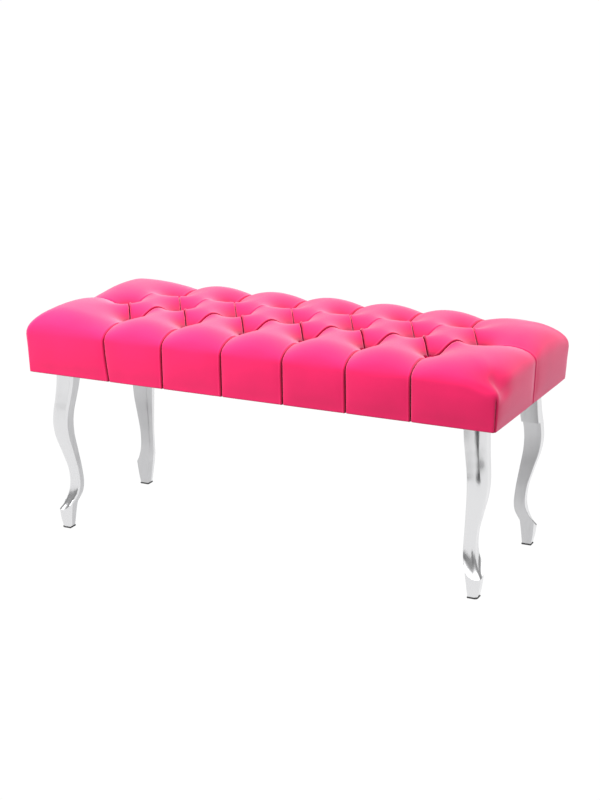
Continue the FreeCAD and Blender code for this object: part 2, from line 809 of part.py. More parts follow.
def check_document():
    """Stops before anything is written if an object failed or a sub-part's shape is unsound."""
    doc.recompute()
    for item in doc.Objects:
        if "Invalid" in item.State or "Error" in item.State:
            raise RuntimeError(f"{item.Label} failed: {item.State}")
    for item in nodes:
        if item.Shape.isNull() or not item.Shape.isValid() or not item.Shape.Solids:
            raise RuntimeError(f"{item.Label} has no sound shape")


def write_parts():
    """One file for each sub-part."""
    os.makedirs("parts", exist_ok=True)
    for item in nodes:
        item.Shape.exportStep(f"parts/{item.Label}.step")
        print(item.Label, len(item.Shape.Solids))


fill_sheet()
twines = tuft_twines()
tuft_buttons()
twine_toggles()
fastener_groups = [rail_screws(), block_screws(), board_screws(), leg_studs(), threaded_inserts()]
fasteners = doc.addObject("Part::Compound", "Fasteners")
fasteners.Links = fastener_groups
velvet_cover(twines)
filling = padding_form()
foam_core(filling, twines)
side_wadding(filling)
dust_cover()
rails(fasteners)
seat_board(fasteners, twines)
corner_blocks(fasteners)
legs(fasteners)
glides()
check_document()
write_parts()
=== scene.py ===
import math
from collections import namedtuple

import bmesh
import bpy
import numpy as np
from bpy.props import FloatProperty, FloatVectorProperty, PointerProperty
from mathutils import Matrix, Vector
from mathutils.kdtree import KDTree


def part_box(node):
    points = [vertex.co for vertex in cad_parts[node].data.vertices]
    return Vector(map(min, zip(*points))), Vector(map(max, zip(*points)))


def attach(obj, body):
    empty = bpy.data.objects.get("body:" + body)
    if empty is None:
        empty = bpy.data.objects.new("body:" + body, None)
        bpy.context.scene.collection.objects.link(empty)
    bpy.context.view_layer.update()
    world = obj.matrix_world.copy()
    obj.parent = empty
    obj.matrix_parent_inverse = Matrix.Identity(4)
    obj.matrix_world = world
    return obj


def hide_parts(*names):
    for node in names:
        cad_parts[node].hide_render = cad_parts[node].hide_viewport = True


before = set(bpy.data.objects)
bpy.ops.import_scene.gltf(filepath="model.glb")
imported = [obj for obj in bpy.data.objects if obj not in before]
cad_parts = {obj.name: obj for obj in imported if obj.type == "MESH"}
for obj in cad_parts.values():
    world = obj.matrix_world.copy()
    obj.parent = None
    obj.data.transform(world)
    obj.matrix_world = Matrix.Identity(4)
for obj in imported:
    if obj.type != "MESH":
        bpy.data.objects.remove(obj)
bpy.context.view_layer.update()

bl_info = {
    "name": "Tufted velvet bench",
    "version": (1, 0, 0),
    "blender": (4, 5, 0),
    "location": "View3D > Sidebar > Bench",
    "description": "Dresses the packed bench: tufted velvet, cast legs, dust cover and a studio stage",
    "category": "Object",
}

COVER_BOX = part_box("velvet_cover")
SHEET_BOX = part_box("dust_cover")
BUTTON_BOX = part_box("tuft_buttons")
CROWN = COVER_BOX[1].z

# The turned-under velvet lies just below the solid cover
HEM_BELOW = 0.0015
SEAT_BOTTOM = COVER_BOX[0].z - HEM_BELOW

# The stuffed faces stand a little out of the solid seat
SWELL = 0.006
HALF_LENGTH = COVER_BOX[1].x + SWELL
HALF_DEPTH = COVER_BOX[1].y + SWELL

# Tufts in the middle row: the two outer rows have one less
MIDDLE_TUFTS = 7

# Corners of the bench: name, side in x, side in y
CORNERS = (
    ("front_left", -1, -1),
    ("front_right", 1, -1),
    ("back_right", 1, 1),
    ("back_left", -1, 1),
)

# One height of a leg: its faces towards and away from the bench's middle, from the leg's upright axis,
# and the round of its outer corner
Station = namedtuple("Station", "height inner outer round")

FOOT_STATIONS = (
    Station(0.003, -0.0045, 0.0145, 0.0060),
    Station(0.020, -0.0065, 0.0182, 0.0080),
    Station(0.041, -0.0095, 0.0208, 0.0100),
)
SHANK_STATIONS = (
    Station(0.041, -0.0095, 0.0208, 0.0100),
    Station(0.050, -0.0130, 0.0150, 0.0090),
    Station(0.064, -0.0172, 0.0092, 0.0080),
    Station(0.090, -0.0200, 0.0036, 0.0075),
    Station(0.125, -0.0180, 0.0050, 0.0085),
    Station(0.165, -0.0130, 0.0150, 0.0120),
    Station(0.205, -0.0080, 0.0258, 0.0160),
    Station(0.232, -0.0072, 0.0286, 0.0180),
    Station(0.255, -0.0090, 0.0274, 0.0180),
    Station(0.280, -0.0130, 0.0244, 0.0180),
    Station(0.310, -0.0175, 0.0218, 0.0180),
    Station(0.347, -0.0205, 0.0205, 0.0180),
)

# The block at the top of a back leg: half its width, and the height of the ledge under it
BLOCK_HALF = 0.0205
BLOCK_FOOT = 0.265


class BenchSeatSettings(bpy.types.PropertyGroup):
    """Sizes and colours of the tufted velvet."""
    end_panel: FloatProperty(
        name="End panel", description="Last tuft of the middle row to the end of the seat",
        default=0.107 + SWELL, unit="LENGTH")
    edge_panel: FloatProperty(
        name="Edge panel", description="Front and back tuft rows to the long faces",
        default=0.116 + SWELL, unit="LENGTH")
    edge_drop: FloatProperty(
        name="Edge drop", description="Top of the pillows down to the upright faces",
        default=0.050, unit="LENGTH")
    side_roll: FloatProperty(
        name="Side roll", description="Width of the round-over along the long sides",
        default=0.070, unit="LENGTH")
    corner_roll: FloatProperty(
        name="Corner roll", description="Width of the round-over at the corners",
        default=0.120, unit="LENGTH")
    tuft_drop: FloatProperty(
        name="Tuft drop", description="Top of the pillows down to a tuft",
        default=0.027, unit="LENGTH")
    crease_drop: FloatProperty(
        name="Crease drop", description="Top of the pillows down to the middle of a crease",
        default=0.0120, unit="LENGTH")
    pleat_drop: FloatProperty(
        name="Pleat drop", description="Top of the pillows down to a pleat that runs to the edge",
        default=0.027, unit="LENGTH")
    pillow_drop: FloatProperty(
        name="Pillow drop", description="How far the middle of a diamond lies below the crown",
        default=0.0095, unit="LENGTH")
    panel_drop: FloatProperty(
        name="Panel drop", description="How far the middle of an edge panel lies below the crown",
        default=0.0125, unit="LENGTH")
    rim_drop: FloatProperty(
        name="Rim drop",
        description="How far an edge panel lies below the crown where it turns over the edge",
        default=0.0175, unit="LENGTH")
    corner_drop: FloatProperty(
        name="Corner drop", description="How far the top lies below the crown at a corner",
        default=0.026, unit="LENGTH")
    back_lift: FloatProperty(
        name="Back lift", description="How much fuller the seat is behind its middle line",
        default=0.006, unit="LENGTH")
    left_lift: FloatProperty(
        name="Left lift", description="How much fuller the seat is at its front left corner",
        default=0.007, unit="LENGTH")
    corner_edge: FloatProperty(
        name="Corner edge", description="How much further down the round-over reaches at a corner",
        default=0.014, unit="LENGTH")
    dimple_depth: FloatProperty(
        name="Dimple depth", description="Extra depth of the velvet round a button",
        default=0.014, unit="LENGTH")
    dimple_radius: FloatProperty(
        name="Dimple radius", description="Reach of the velvet round a button",
        default=0.034, unit="LENGTH")
    fold_depth: FloatProperty(
        name="Fold depth", description="Depth of the slit beside a folded lip",
        default=0.010, unit="LENGTH")
    fold_width: FloatProperty(
        name="Fold width", description="Half width of the slit beside a folded lip",
        default=0.0010, unit="LENGTH")
    lip_height: FloatProperty(
        name="Lip height", description="How far the folded lip stands up",
        default=0.0012, unit="LENGTH")
    pleat_lean: FloatProperty(
        name="Pleat lean", description="How far the pleats lean along the long faces",
        default=0.008, unit="LENGTH")
    first_slant: FloatProperty(
        name="First slant", description="Further lean of the first pleat at its lower end",
        default=0.008, unit="LENGTH")
    lap: FloatProperty(
        name="Lap", description="How far the front cloth stands over the end cloth at a corner fold",
        default=0.0008, unit="LENGTH")
    draw_in: FloatProperty(
        name="Draw in", description="How far the lower edge is pulled in under the frame",
        default=0.004, unit="LENGTH")
    corner_radius: FloatProperty(
        name="Corner radius", description="Upright corners of the seat in plan",
        default=0.011, unit="LENGTH")
    hem_radius: FloatProperty(
        name="Hem radius", description="Round of the lower edge",
        default=0.003, unit="LENGTH")
    turn_under: FloatProperty(
        name="Turn under", description="Velvet turned under the frame",
        default=0.026, unit="LENGTH")
    pressure: FloatProperty(
        name="Pressure", description="Push of the padding on the cloth while it settles",
        default=2.0, min=0, subtype="UNSIGNED")
    swell_cap: FloatProperty(
        name="Swell cap", description="Furthest that a point may move while the cloth settles",
        default=0.003, unit="LENGTH")
    velvet: FloatVectorProperty(
        name="Velvet", description="Colour of the pile",
        default=(0.82, 0.012, 0.118), size=3, subtype="COLOR", min=0, max=1)
    # Colour painted into the pile as shade: deep in the folds, round the tufts and in the dent at the front
    # right corner
    fold_shade: FloatVectorProperty(
        name="Fold shade", description="Colour of the crushed pile deep in a fold",
        default=(0.26, 0.0, 0.03), size=3, subtype="COLOR", min=0, max=1)


class BenchLegSettings(bpy.types.PropertyGroup):
    """Sizes and colours of the cast legs and their glides."""
    edge_round: FloatProperty(
        name="Edge round", description="Round of the long edges of a leg",
        default=0.0012, unit="LENGTH")
    dish: FloatProperty(
        name="Dish", description="Hollow of the polished faces between their edges",
        default=0.0002, unit="LENGTH")
    toe_rise: FloatProperty(
        name="Toe rise", description="How far the toe's lip climbs towards the sides",
        default=0.012, unit="LENGTH")
    polished: FloatVectorProperty(
        name="Polished", description="Colour of the polished casting",
        default=(0.74, 0.74, 0.75), size=3, subtype="COLOR", min=0, max=1)
    # Inner faces: a rougher satin finish, and a colour darker than the polished faces as painted shade on
    # the faces turned in under the seat
    satin_and_shade: FloatVectorProperty(
        name="Satin", description="Colour of the inner faces, left satin",
        default=(0.56, 0.56, 0.57), size=3, subtype="COLOR", min=0, max=1)
    glide: FloatVectorProperty(
        name="Glide", description="Colour of the glides",
        default=(0.03, 0.03, 0.03), size=3, subtype="COLOR", min=0, max=1)


class BenchUndersideSettings(bpy.types.PropertyGroup):
    """Sizes and colours of the dust cover, its staples and the frame inside."""
    sag: FloatProperty(
        name="Sag", description="How far the dust cover hangs in its middle",
        default=0.003, unit="LENGTH")
    staple_spacing: FloatProperty(
        name="Staple spacing", description="Distance between staples",
        default=0.045, unit="LENGTH")
    staple_length: FloatProperty(
        name="Staple length", description="Length of a staple's crown",
        default=0.010, unit="LENGTH")
    staple_margin: FloatProperty(
        name="Staple margin", description="Edge of the dust cover to its staples",
        default=0.007, unit="LENGTH")
    staple_wire: FloatProperty(
        name="Staple wire", description="Radius of the staple wire",
        default=0.0004, unit="LENGTH")
    cloth: FloatVectorProperty(
        name="Cloth", description="Colour of the dust cover",
        default=(0.012, 0.012, 0.013), size=3, subtype="COLOR", min=0, max=1)
    timber: FloatVectorProperty(
        name="Timber", description="Colour of the rails",
        default=(0.50, 0.31, 0.15), size=3, subtype="COLOR", min=0, max=1)
    plywood: FloatVectorProperty(
        name="Plywood", description="Colour of the seat board",
        default=(0.58, 0.40, 0.20), size=3, subtype="COLOR", min=0, max=1)
    steel: FloatVectorProperty(
        name="Steel", description="Colour of the plated screws and staples",
        default=(0.60, 0.60, 0.57), size=3, subtype="COLOR", min=0, max=1)
    twine: FloatVectorProperty(
        name="Twine", description="Colour of the waxed twine",
        default=(0.68, 0.58, 0.42), size=3, subtype="COLOR", min=0, max=1)


class BenchStageSettings(bpy.types.PropertyGroup):
    """Camera and light."""
    azimuth: FloatProperty(
        name="Azimuth", description="Turn of the camera round the bench",
        default=math.radians(25.40), subtype="ANGLE")
    elevation: FloatProperty(
        name="Elevation", description="Camera above the horizon",
        default=math.radians(15.11), subtype="ANGLE")
    roll: FloatProperty(
        name="Roll", description="Turn of the camera about its own axis",
        default=math.radians(0.14), subtype="ANGLE")
    place: FloatVectorProperty(
        name="Place", description="Where the camera stands",
        default=(1.4811, -3.0875, 1.2583), size=3, subtype="TRANSLATION", unit="LENGTH")
    lens: FloatProperty(
        name="Lens", description="Focal length in millimetres",
        default=78.70, unit="CAMERA")
    shift: FloatVectorProperty(
        name="Shift", description="Camera shift in shares of the frame's long side",
        default=(-0.0030, -0.0254), size=2, subtype="XYZ")
    key_power: FloatProperty(
        name="Key power", description="Power of the large lamp at the upper left",
        default=23, unit="POWER")
    zenith: FloatProperty(
        name="Zenith", description="Brightness of the studio overhead",
        default=3.1, min=0, subtype="UNSIGNED")
    horizon: FloatProperty(
        name="Horizon", description="Brightness of the studio round the sides",
        default=0.32, min=0, subtype="UNSIGNED")
    floor: FloatVectorProperty(
        name="Floor", description="Colour of the lit floor",
        default=(1.0, 1.0, 1.0), size=3, subtype="COLOR", min=0, max=1)


# Small helpers


def smooth_step(value):
    """0 below 0, 1 above 1 and a soft rise between."""
    value = np.clip(value, 0, 1)
    return value * value * (3 - 2 * value)


def round_over(share, power):
    """Rise of a round-over, from 0 at its foot to 1 at its top."""
    left = np.clip(1 - share, 0, 1)
    return (1 - left ** power) ** (1 / power)


def both_ends_fine(count, power):
    """Shares from 0 to 1 in count steps, finest at both ends."""
    share = np.linspace(0, 1, count + 1)
    low = 0.5 * (2 * np.minimum(share, 1 - share)) ** power
    return np.where(share < 0.5, low, 1 - low)


def through(at, places, values):
    """Smooth lines through values at places. The values may have further axes after the first."""
    places, values = np.asarray(places), np.asarray(values)
    slopes = np.gradient(values, places, axis=0)
    i = np.clip(np.searchsorted(places, at, side="right") - 1, 0, len(places) - 2)
    further_axes = (...,) + (None,) * (values.ndim - 1)
    gap = np.asarray(places[i + 1] - places[i])[further_axes]
    share = np.asarray(at - places[i])[further_axes] / gap
    start = (1 + 2 * share) * (1 - share) ** 2
    leave = share * (1 - share) ** 2 * gap
    end = share ** 2 * (3 - 2 * share)
    arrive = share ** 2 * (share - 1) * gap
    return start * values[i] + leave * slopes[i] + end * values[i + 1] + arrive * slopes[i + 1]


def link_mesh(name, mesh):
    """A new object at the origin with that mesh."""
    piece = bpy.data.objects.new(name, mesh)
    bpy.context.scene.collection.objects.link(piece)
    return piece


def finish_piece(piece, slot, *nodes):
    """Rides on the bench and stands for the nodes; the slot is not used."""
    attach(piece, "root")
    if nodes:
        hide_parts(*nodes)
    return piece


def shade_smooth(mesh, sharp_angle=None):
    """Smooth shading, with crisp edges where faces meet at more than an angle."""
    mesh.polygons.foreach_set("use_smooth", [True] * len(mesh.polygons))
    if sharp_angle is not None:
        mesh.set_sharp_from_angle(angle=sharp_angle)


def add_node(tree, kind, values=None, links=None, **traits):
    """A new node with its traits, its input values and the sockets that feed its inputs."""
    node = tree.nodes.new(kind)
    for trait, value in traits.items():
        setattr(node, trait, value)
    for label, value in (values or {}).items():
        node.inputs[label].default_value = value
    for label, socket in (links or {}).items():
        tree.links.new(socket, node.inputs[label])
    return node


def outward_mesh(name, shape):
    """A mesh of a shape with its faces turned outwards. The shape is given up."""
    bmesh.ops.recalc_face_normals(shape, faces=shape.faces)
    mesh = bpy.data.meshes.new(name)
    shape.to_mesh(mesh)
    shape.free()
    return mesh


def new_material(name, colour, roughness, metallic=0.0):
    """A material with its shader, and the tree that the rest of it goes into."""
    material = bpy.data.materials.new(name)
    material.use_nodes = True
    tree = material.node_tree
    shader = tree.nodes["Principled BSDF"]
    shader.inputs["Base Color"].default_value = (*colour, 1)
    shader.inputs["Roughness"].default_value = roughness
    shader.inputs["Metallic"].default_value = metallic
    return material, tree, shader


def object_noise(tree, scale, detail, stretch=(1, 1, 1)):
    """Noise on the piece's own coordinates."""
    place = add_node(tree, "ShaderNodeTexCoord")
    turn = add_node(tree, "ShaderNodeMapping", {"Scale": stretch}, {"Vector": place.outputs["Object"]})
    noise = add_node(tree, "ShaderNodeTexNoise", {"Scale": scale, "Detail": detail},
                     {"Vector": turn.outputs["Vector"]})
    return noise.outputs["Fac"]


def colour_between(tree, share, low, high, start=0.3, stop=0.7):
    """A colour between two, by a share."""
    ramp = add_node(tree, "ShaderNodeValToRGB", links={"Fac": share})
    for element, place, colour in zip(ramp.color_ramp.elements, (start, stop), (low, high)):
        element.position = place
        element.color = (*colour, 1)
    return ramp.outputs["Color"]


def value_between(tree, share, low, high, start=0.3, stop=0.7, course="LINEAR"):
    """A number between two, by a share."""
    reach = {"From Min": start, "From Max": stop, "To Min": low, "To Max": high}
    scale = add_node(tree, "ShaderNodeMapRange", reach, {"Value": share}, interpolation_type=course)
    return scale.outputs["Result"]


def add_bump(tree, shader, height, distance, strength):
    """Small relief from a height."""
    bump = add_node(tree, "ShaderNodeBump", {"Strength": strength, "Distance": distance}, {"Height": height})
    tree.links.new(bump.outputs["Normal"], shader.inputs["Normal"])


def darker(colour, share):
    """A colour taken down to a share of its brightness."""
    return tuple(channel * share for channel in colour)


def grained_material(name, colour, roughness, grain, tints=None, gloss=None, relief=None, metallic=0.0):
    """A material whose colour, gloss and relief follow one noise.

    grain has the noise's scale, its detail and its stretch. tints has two shares of the colour and, where
    they differ from the usual ones, the noise's values there. gloss has two roughnesses, and relief has a
    distance and a strength.
    """
    material, tree, shader = new_material(name, colour, roughness, metallic)
    noise = object_noise(tree, *grain)
    if tints:
        low, high = (darker(colour, share) for share in tints[:2])
        tree.links.new(colour_between(tree, noise, low, high, *tints[2:]), shader.inputs["Base Color"])
    if gloss:
        tree.links.new(value_between(tree, noise, *gloss), shader.inputs["Roughness"])
    if relief:
        add_bump(tree, shader, noise, *relief)
    return material


# Seat form


def taut_sheet(plan, held, place, drop_there, fill):
    """Drop of a taut padded sheet over a grid of plan points.

    held has the drop where the sheet is held down and nan where it is free. The padding under it, spread
    as fill says, is as full as it takes to bring the grid place to drop_there.
    """
    rows, columns = plan.shape[:2]
    number = np.arange(rows * columns).reshape(rows, columns)
    first, second = number[:-1, :-1].ravel(), number[1:, :-1].ravel()
    third, fourth = number[1:, 1:].ravel(), number[:-1, 1:].ravel()
    halves = ((first, second, third), (first, third, fourth))
    corners = np.concatenate([np.stack(half, axis=1) for half in halves])
    points = plan.reshape(-1, 2)
    edges = points[corners[:, [2, 0, 1]]] - points[corners[:, [1, 2, 0]]]
    double_area = np.abs(edges[:, 0, 0] * edges[:, 1, 1] - edges[:, 0, 1] * edges[:, 1, 0])
    tension = np.zeros((number.size, number.size))
    padding = np.zeros(number.size)
    for i in range(3):
        for j in range(3):
            pull = (edges[:, i] * edges[:, j]).sum(axis=1) / (2 * double_area)
            np.add.at(tension, (corners[:, i], corners[:, j]), pull)
        np.add.at(padding, corners[:, i], double_area / 6)
    padding *= fill.ravel()
    drop = held.ravel().copy()
    free = np.isnan(drop)
    drop[free] = 0
    pulls = np.column_stack([-(tension[free] @ drop), padding[free]])
    slack, puff = np.linalg.solve(tension[np.ix_(free, free)], pulls).T
    drop[free] = slack
    rise = np.zeros_like(drop)
    rise[free] = puff
    middle = number[place]
    fullness = (drop[middle] - drop_there) / rise[middle]
    return (drop - fullness * rise).reshape(rows, columns)


class SeatForm:
    """The tufted seat: plan places of its folds, and how far each lies below the crown."""

    # Reach of the shade painted round a button, and how dark it is at most
    PIT_REACH = 0.024
    PIT_PAINTED_SHADE = 0.80

    # Lip of a crease on the top against that of a pleat, and its painted shade against that of a pleat
    CREASE_LIP = 2.0
    CREASE_PAINTED_SHADE = 0.8

    # A crease's painted shade reaches further on the side of its lip than on the other
    LIP_SIDE_FALL = 0.45
    FAR_SIDE_FALL = 1.3

    # Share of a fold's painted shade that is left in a tuft
    SHADE_IN_TUFT = 0.4

    def __init__(self, seat):
        self.seat = seat
        self.edge = CROWN - seat.edge_drop
        span = HALF_LENGTH - seat.end_panel
        self.pitch = 2 * span / (MIDDLE_TUFTS - 1)
        self.row = HALF_DEPTH - seat.edge_panel
        self.middle = [(i * self.pitch - span, 0.0) for i in range(MIDDLE_TUFTS)]
        outer = [(i + 0.5) * self.pitch - span for i in range(MIDDLE_TUFTS - 1)]
        self.front = [(x, -self.row) for x in outer]
        self.back = [(x, self.row) for x in outer]
        self.tufts = self.middle + self.front + self.back
        self.creases = []
        for i in range(MIDDLE_TUFTS - 1):
            for outer_row in (self.front, self.back):
                self.creases.append((self.middle[i], outer_row[i]))
                self.creases.append((outer_row[i], self.middle[i + 1]))

    def along_crease(self, share):
        """Drop along a crease between two tufts."""
        seat = self.seat
        half, power = 0.24, 2.5
        arch = np.exp(-(np.abs(share - 0.5) / half) ** power) - np.exp(-(0.5 / half) ** power)
        return seat.tuft_drop - (seat.tuft_drop - seat.crease_drop) * arch

    def along_pleat(self, share):
        """Drop along a pleat from its tuft to the edge."""
        seat = self.seat
        return seat.pleat_drop + (seat.tuft_drop - seat.pleat_drop) * (1 - share) ** 6

    @staticmethod
    def side_of(x, y, line):
        """Distance of points to a line between two places, and their side of it."""
        (x0, y0), (x1, y1) = line
        along = np.array([x1 - x0, y1 - y0])
        length = np.hypot(*along)
        along = along / length
        step = np.clip((x - x0) * along[0] + (y - y0) * along[1], 0, length)
        off_x = x - x0 - step * along[0]
        off_y = y - y0 - step * along[1]
        side = np.sign(off_y * along[0] - off_x * along[1])
        return np.hypot(off_x, off_y), side

    def crown(self, x, y):
        """Height that the drops count from: the seat is fuller at the back and at the front left."""
        left_from, left_over = 0.33, 0.12
        front_to, front_over = 0.06, 0.08
        back = smooth_step(0.5 + 0.5 * y / self.row)
        left = smooth_step((-x - left_from) / left_over) * smooth_step((front_to - y) / front_over)
        return CROWN + self.seat.back_lift * back + self.seat.left_lift * left

    def to_tuft(self, x, y):
        """Distance to the nearest tuft."""
        nearest = np.full_like(x, 1.0)
        for tuft_x, tuft_y in self.tufts:
            nearest = np.minimum(nearest, np.hypot(x - tuft_x, y - tuft_y))
        return nearest

    def slit(self, away):
        """Depth of the slit at a distance from a fold."""
        steepness = 1.3
        return self.seat.fold_depth * np.exp(-(away / self.seat.fold_width) ** steepness)

    def lip(self, away):
        """Height of the folded lip at a distance from a fold."""
        lip_place = 2.6 * self.seat.fold_width
        lip_spread = 1.8 * self.seat.fold_width
        return self.seat.lip_height * np.exp(-((away - lip_place) / lip_spread) ** 2)

    def shade(self, away):
        """How dark the shade painted beside a fold is at a distance from it."""
        shade_spread = 1.1 * self.seat.fold_width
        return np.exp(-(away / shade_spread) ** 2)

    def top_folds(self, x, y, pleats, lip_side):
        """Depth of the folds on the top and the shade painted along them and round the tufts; the folds fade
        out in the tufts.
        """
        fade_from = 0.003
        fade_over = 0.010
        to_tuft = self.to_tuft(x, y)
        fade = smooth_step((to_tuft - fade_from) / fade_over)
        depth = np.zeros_like(x)
        shade = np.zeros_like(x)
        for line in self.creases:
            away, side = self.side_of(x, y, line)
            shade_away = away * np.where(side > 0, self.LIP_SIDE_FALL, self.FAR_SIDE_FALL)
            depth += self.slit(away) - np.where(side > 0, self.CREASE_LIP * self.lip(away), 0)
            shade = np.maximum(shade, self.CREASE_PAINTED_SHADE * self.shade(shade_away))
        for line in pleats:
            away, side = self.side_of(x, y, line)
            depth += self.slit(away) - np.where(side == lip_side, self.lip(away), 0)
            shade = np.maximum(shade, self.shade(away))
        # Shade painted round every tuft, darkest at the tuft itself
        painted_pit_shade = self.PIT_PAINTED_SHADE * np.exp(-(to_tuft / self.PIT_REACH) ** 2)
        shade *= self.SHADE_IN_TUFT + (1 - self.SHADE_IN_TUFT) * fade
        return depth * fade, np.maximum(shade, painted_pit_shade)

    def dimple(self, x, y):
        """Extra drop round the buttons."""
        return self.seat.dimple_depth * np.exp(-(self.to_tuft(x, y) / self.seat.dimple_radius) ** 2)


def outline_at(way, corner_radius):
    """Core point and outward normal of the outline at the front right quarter.

    way is the length from the front's middle line, round the corner, to a place on the end.
    """
    straight_x = HALF_LENGTH - corner_radius
    straight_y = HALF_DEPTH - corner_radius
    arc = corner_radius * math.pi / 2
    angle = np.clip((way - straight_x) / arc, 0, 1) * math.pi / 2
    normal = np.stack([np.sin(angle), -np.cos(angle)], axis=-1)
    core_x = np.minimum(way, straight_x)
    core_y = -straight_y + np.maximum(way - straight_x - arc, 0)
    return np.stack([core_x, core_y], axis=-1), normal


class EdgePanel:
    """A panel from a roof line over the edge, down the face and under the frame.

    Every column starts at a point of the roof and ends under the frame.
    """

    TOP_ROWS = 38
    FACE_ROWS = 14
    HEM_ROWS = 5
    UNDER_ROWS = 3

    # How the rows of the top close up at both ends, and the row that its fullness is given at
    TOP_SPREAD = 1.7
    FULL_ROW = 18

    # How the padding thins towards the roof, and how the cloth rolls and tilts over the edge
    FILL_POWER = 0.5
    ROLL_POWER = 2.2
    TILT_POWER = 1.2

    # How the face is drawn in and leans towards its lower edge, and what is left there of a pleat's hollow
    DRAW_POWER = 1.3
    SLANT_POWER = 1.5
    HOLLOW_LEFT = 0.4

    def __init__(self, form, roof, core, normal):
        self.form = form
        self.roof = roof
        self.core = core
        self.normal = normal
        self.rim = core + normal * form.seat.corner_radius
        columns = len(roof)
        self.roll = np.full(columns, form.seat.side_roll)
        self.edge = np.full(columns, form.edge)
        self.roof_drop = np.zeros(columns)
        self.rim_drop = np.zeros(columns)
        self.face_folds = np.zeros(columns)
        self.face_shade = np.zeros(columns)
        self.late_folds = np.zeros(columns)
        self.late_shade = np.zeros(columns)
        self.valley = np.zeros(columns)
        self.slant = np.zeros(columns)
        self.pleats = []
        self.lip_side = -1
        self.full_at = (self.FULL_ROW, columns // 2)
        self.full_drop = 0.0
        self.fullness = np.ones(columns)
        self.side = 1
        self.turned = 1

    def top(self):
        """Rows over the top, from the roof to the rim."""
        form = self.form
        shares = both_ends_fine(self.TOP_ROWS, self.TOP_SPREAD)
        plan = self.roof + (self.rim - self.roof) * shares[:, None, None]
        held = np.full(plan.shape[:2], np.nan)
        held[-1] = self.rim_drop
        held[:, 0] = held[:, -1] = form.along_pleat(shares)
        held[0] = self.roof_drop
        fill = shares[:, None] ** self.FILL_POWER * self.fullness
        drop = taut_sheet(plan, held, self.full_at, self.full_drop, fill)
        x, y = plan[..., 0], plan[..., 1]
        drop = drop + form.dimple(x, y)
        rise = np.hypot(*np.moveaxis(self.rim - plan, -1, 0)) / self.roll
        full_height = form.crown(self.side * x, self.turned * y) - drop
        height = self.edge + round_over(rise, self.ROLL_POWER) * (full_height - self.edge)
        over = (1 - np.clip(rise, 0, 1)) ** self.TILT_POWER
        tilt = over * math.pi / 2
        depth, shade = form.top_folds(x, y, self.pleats, self.lip_side)
        inward = depth * np.sin(tilt) + self.valley * over ** 2
        out = plan - self.normal * inward[..., None]
        return np.dstack([out, height - depth * np.cos(tilt), shade])

    def row(self, inward, height, shade):
        """One level row of the panel."""
        plan = self.rim - self.normal * inward[:, None]
        return np.column_stack([plan, np.broadcast_to(height, len(plan)), shade])

    def face(self):
        """Rows down the face and round the lower edge."""
        seat = self.form.seat
        low = SEAT_BOTTOM + seat.hem_radius
        fold_grows_over = 0.4
        along = np.column_stack([-self.normal[:, 1], self.normal[:, 0]])
        rows = []
        for step in range(1, self.FACE_ROWS + 1):
            share = step / self.FACE_ROWS
            grown = smooth_step(share / fold_grows_over)
            inward = seat.draw_in * share ** self.DRAW_POWER + self.face_folds + self.late_folds * grown
            inward = inward + self.valley * (1 - (1 - self.HOLLOW_LEFT) * share)
            height = self.edge + (low - self.edge) * share
            row = self.row(inward, height, np.maximum(self.face_shade, self.late_shade * grown))
            row[:, :2] += along * (self.slant * share ** self.SLANT_POWER)[:, None]
            rows.append(row)
        for step in range(1, self.HEM_ROWS + 1):
            angle = math.pi / 2 * step / self.HEM_ROWS
            inward = seat.draw_in + self.face_folds + self.late_folds + self.HOLLOW_LEFT * self.valley
            inward = inward + seat.hem_radius * (1 - math.cos(angle))
            row = self.row(inward, low - seat.hem_radius * math.sin(angle), self.face_shade)
            row[:, :2] += along * self.slant[:, None]
            rows.append(row)
        return np.array(rows)

    def under(self, hem):
        """Rows under the frame, from the lower edge inwards."""
        seat = self.form.seat
        inner_radius = 0.004
        straight = np.array([HALF_LENGTH, HALF_DEPTH]) - seat.corner_radius
        inner_straight = np.array([HALF_LENGTH, HALF_DEPTH]) - seat.turn_under - inner_radius
        inner = self.core * (inner_straight / straight) + self.normal * inner_radius
        rows = []
        for step in range(1, self.UNDER_ROWS + 1):
            row = hem.copy()
            row[:, :2] = hem[:, :2] + (inner - hem[:, :2]) * step / self.UNDER_ROWS
            row[:, 2] = SEAT_BOTTOM
            row[:, 3] = 0
            rows.append(row)
        return np.array(rows)

    def patch(self):
        """All rows of the panel: place and fold shade of every point."""
        face = self.face()
        return np.concatenate([self.top(), face, self.under(face[-1])])


def diamond_patch(form, steps, i):
    """A pillow between four tufts."""
    start = np.array(form.middle[i])
    forward = np.array(form.front[i]) - start
    backward = np.array(form.back[i]) - start
    plan = start + steps[:, None, None] * forward + steps[None, :, None] * backward
    x, y = plan[..., 0], plan[..., 1]
    held = np.full(x.shape, np.nan)
    held[0] = held[-1] = held[:, 0] = held[:, -1] = form.along_crease(steps)
    centre = len(steps) // 2
    even_fill = np.ones_like(x)
    drop = taut_sheet(plan, held, (centre, centre), form.seat.pillow_drop, even_fill) + form.dimple(x, y)
    depth, shade = form.top_folds(x, y, pleats=[], lip_side=0)
    return np.dstack([plan, form.crown(x, y) - drop - depth, shade])


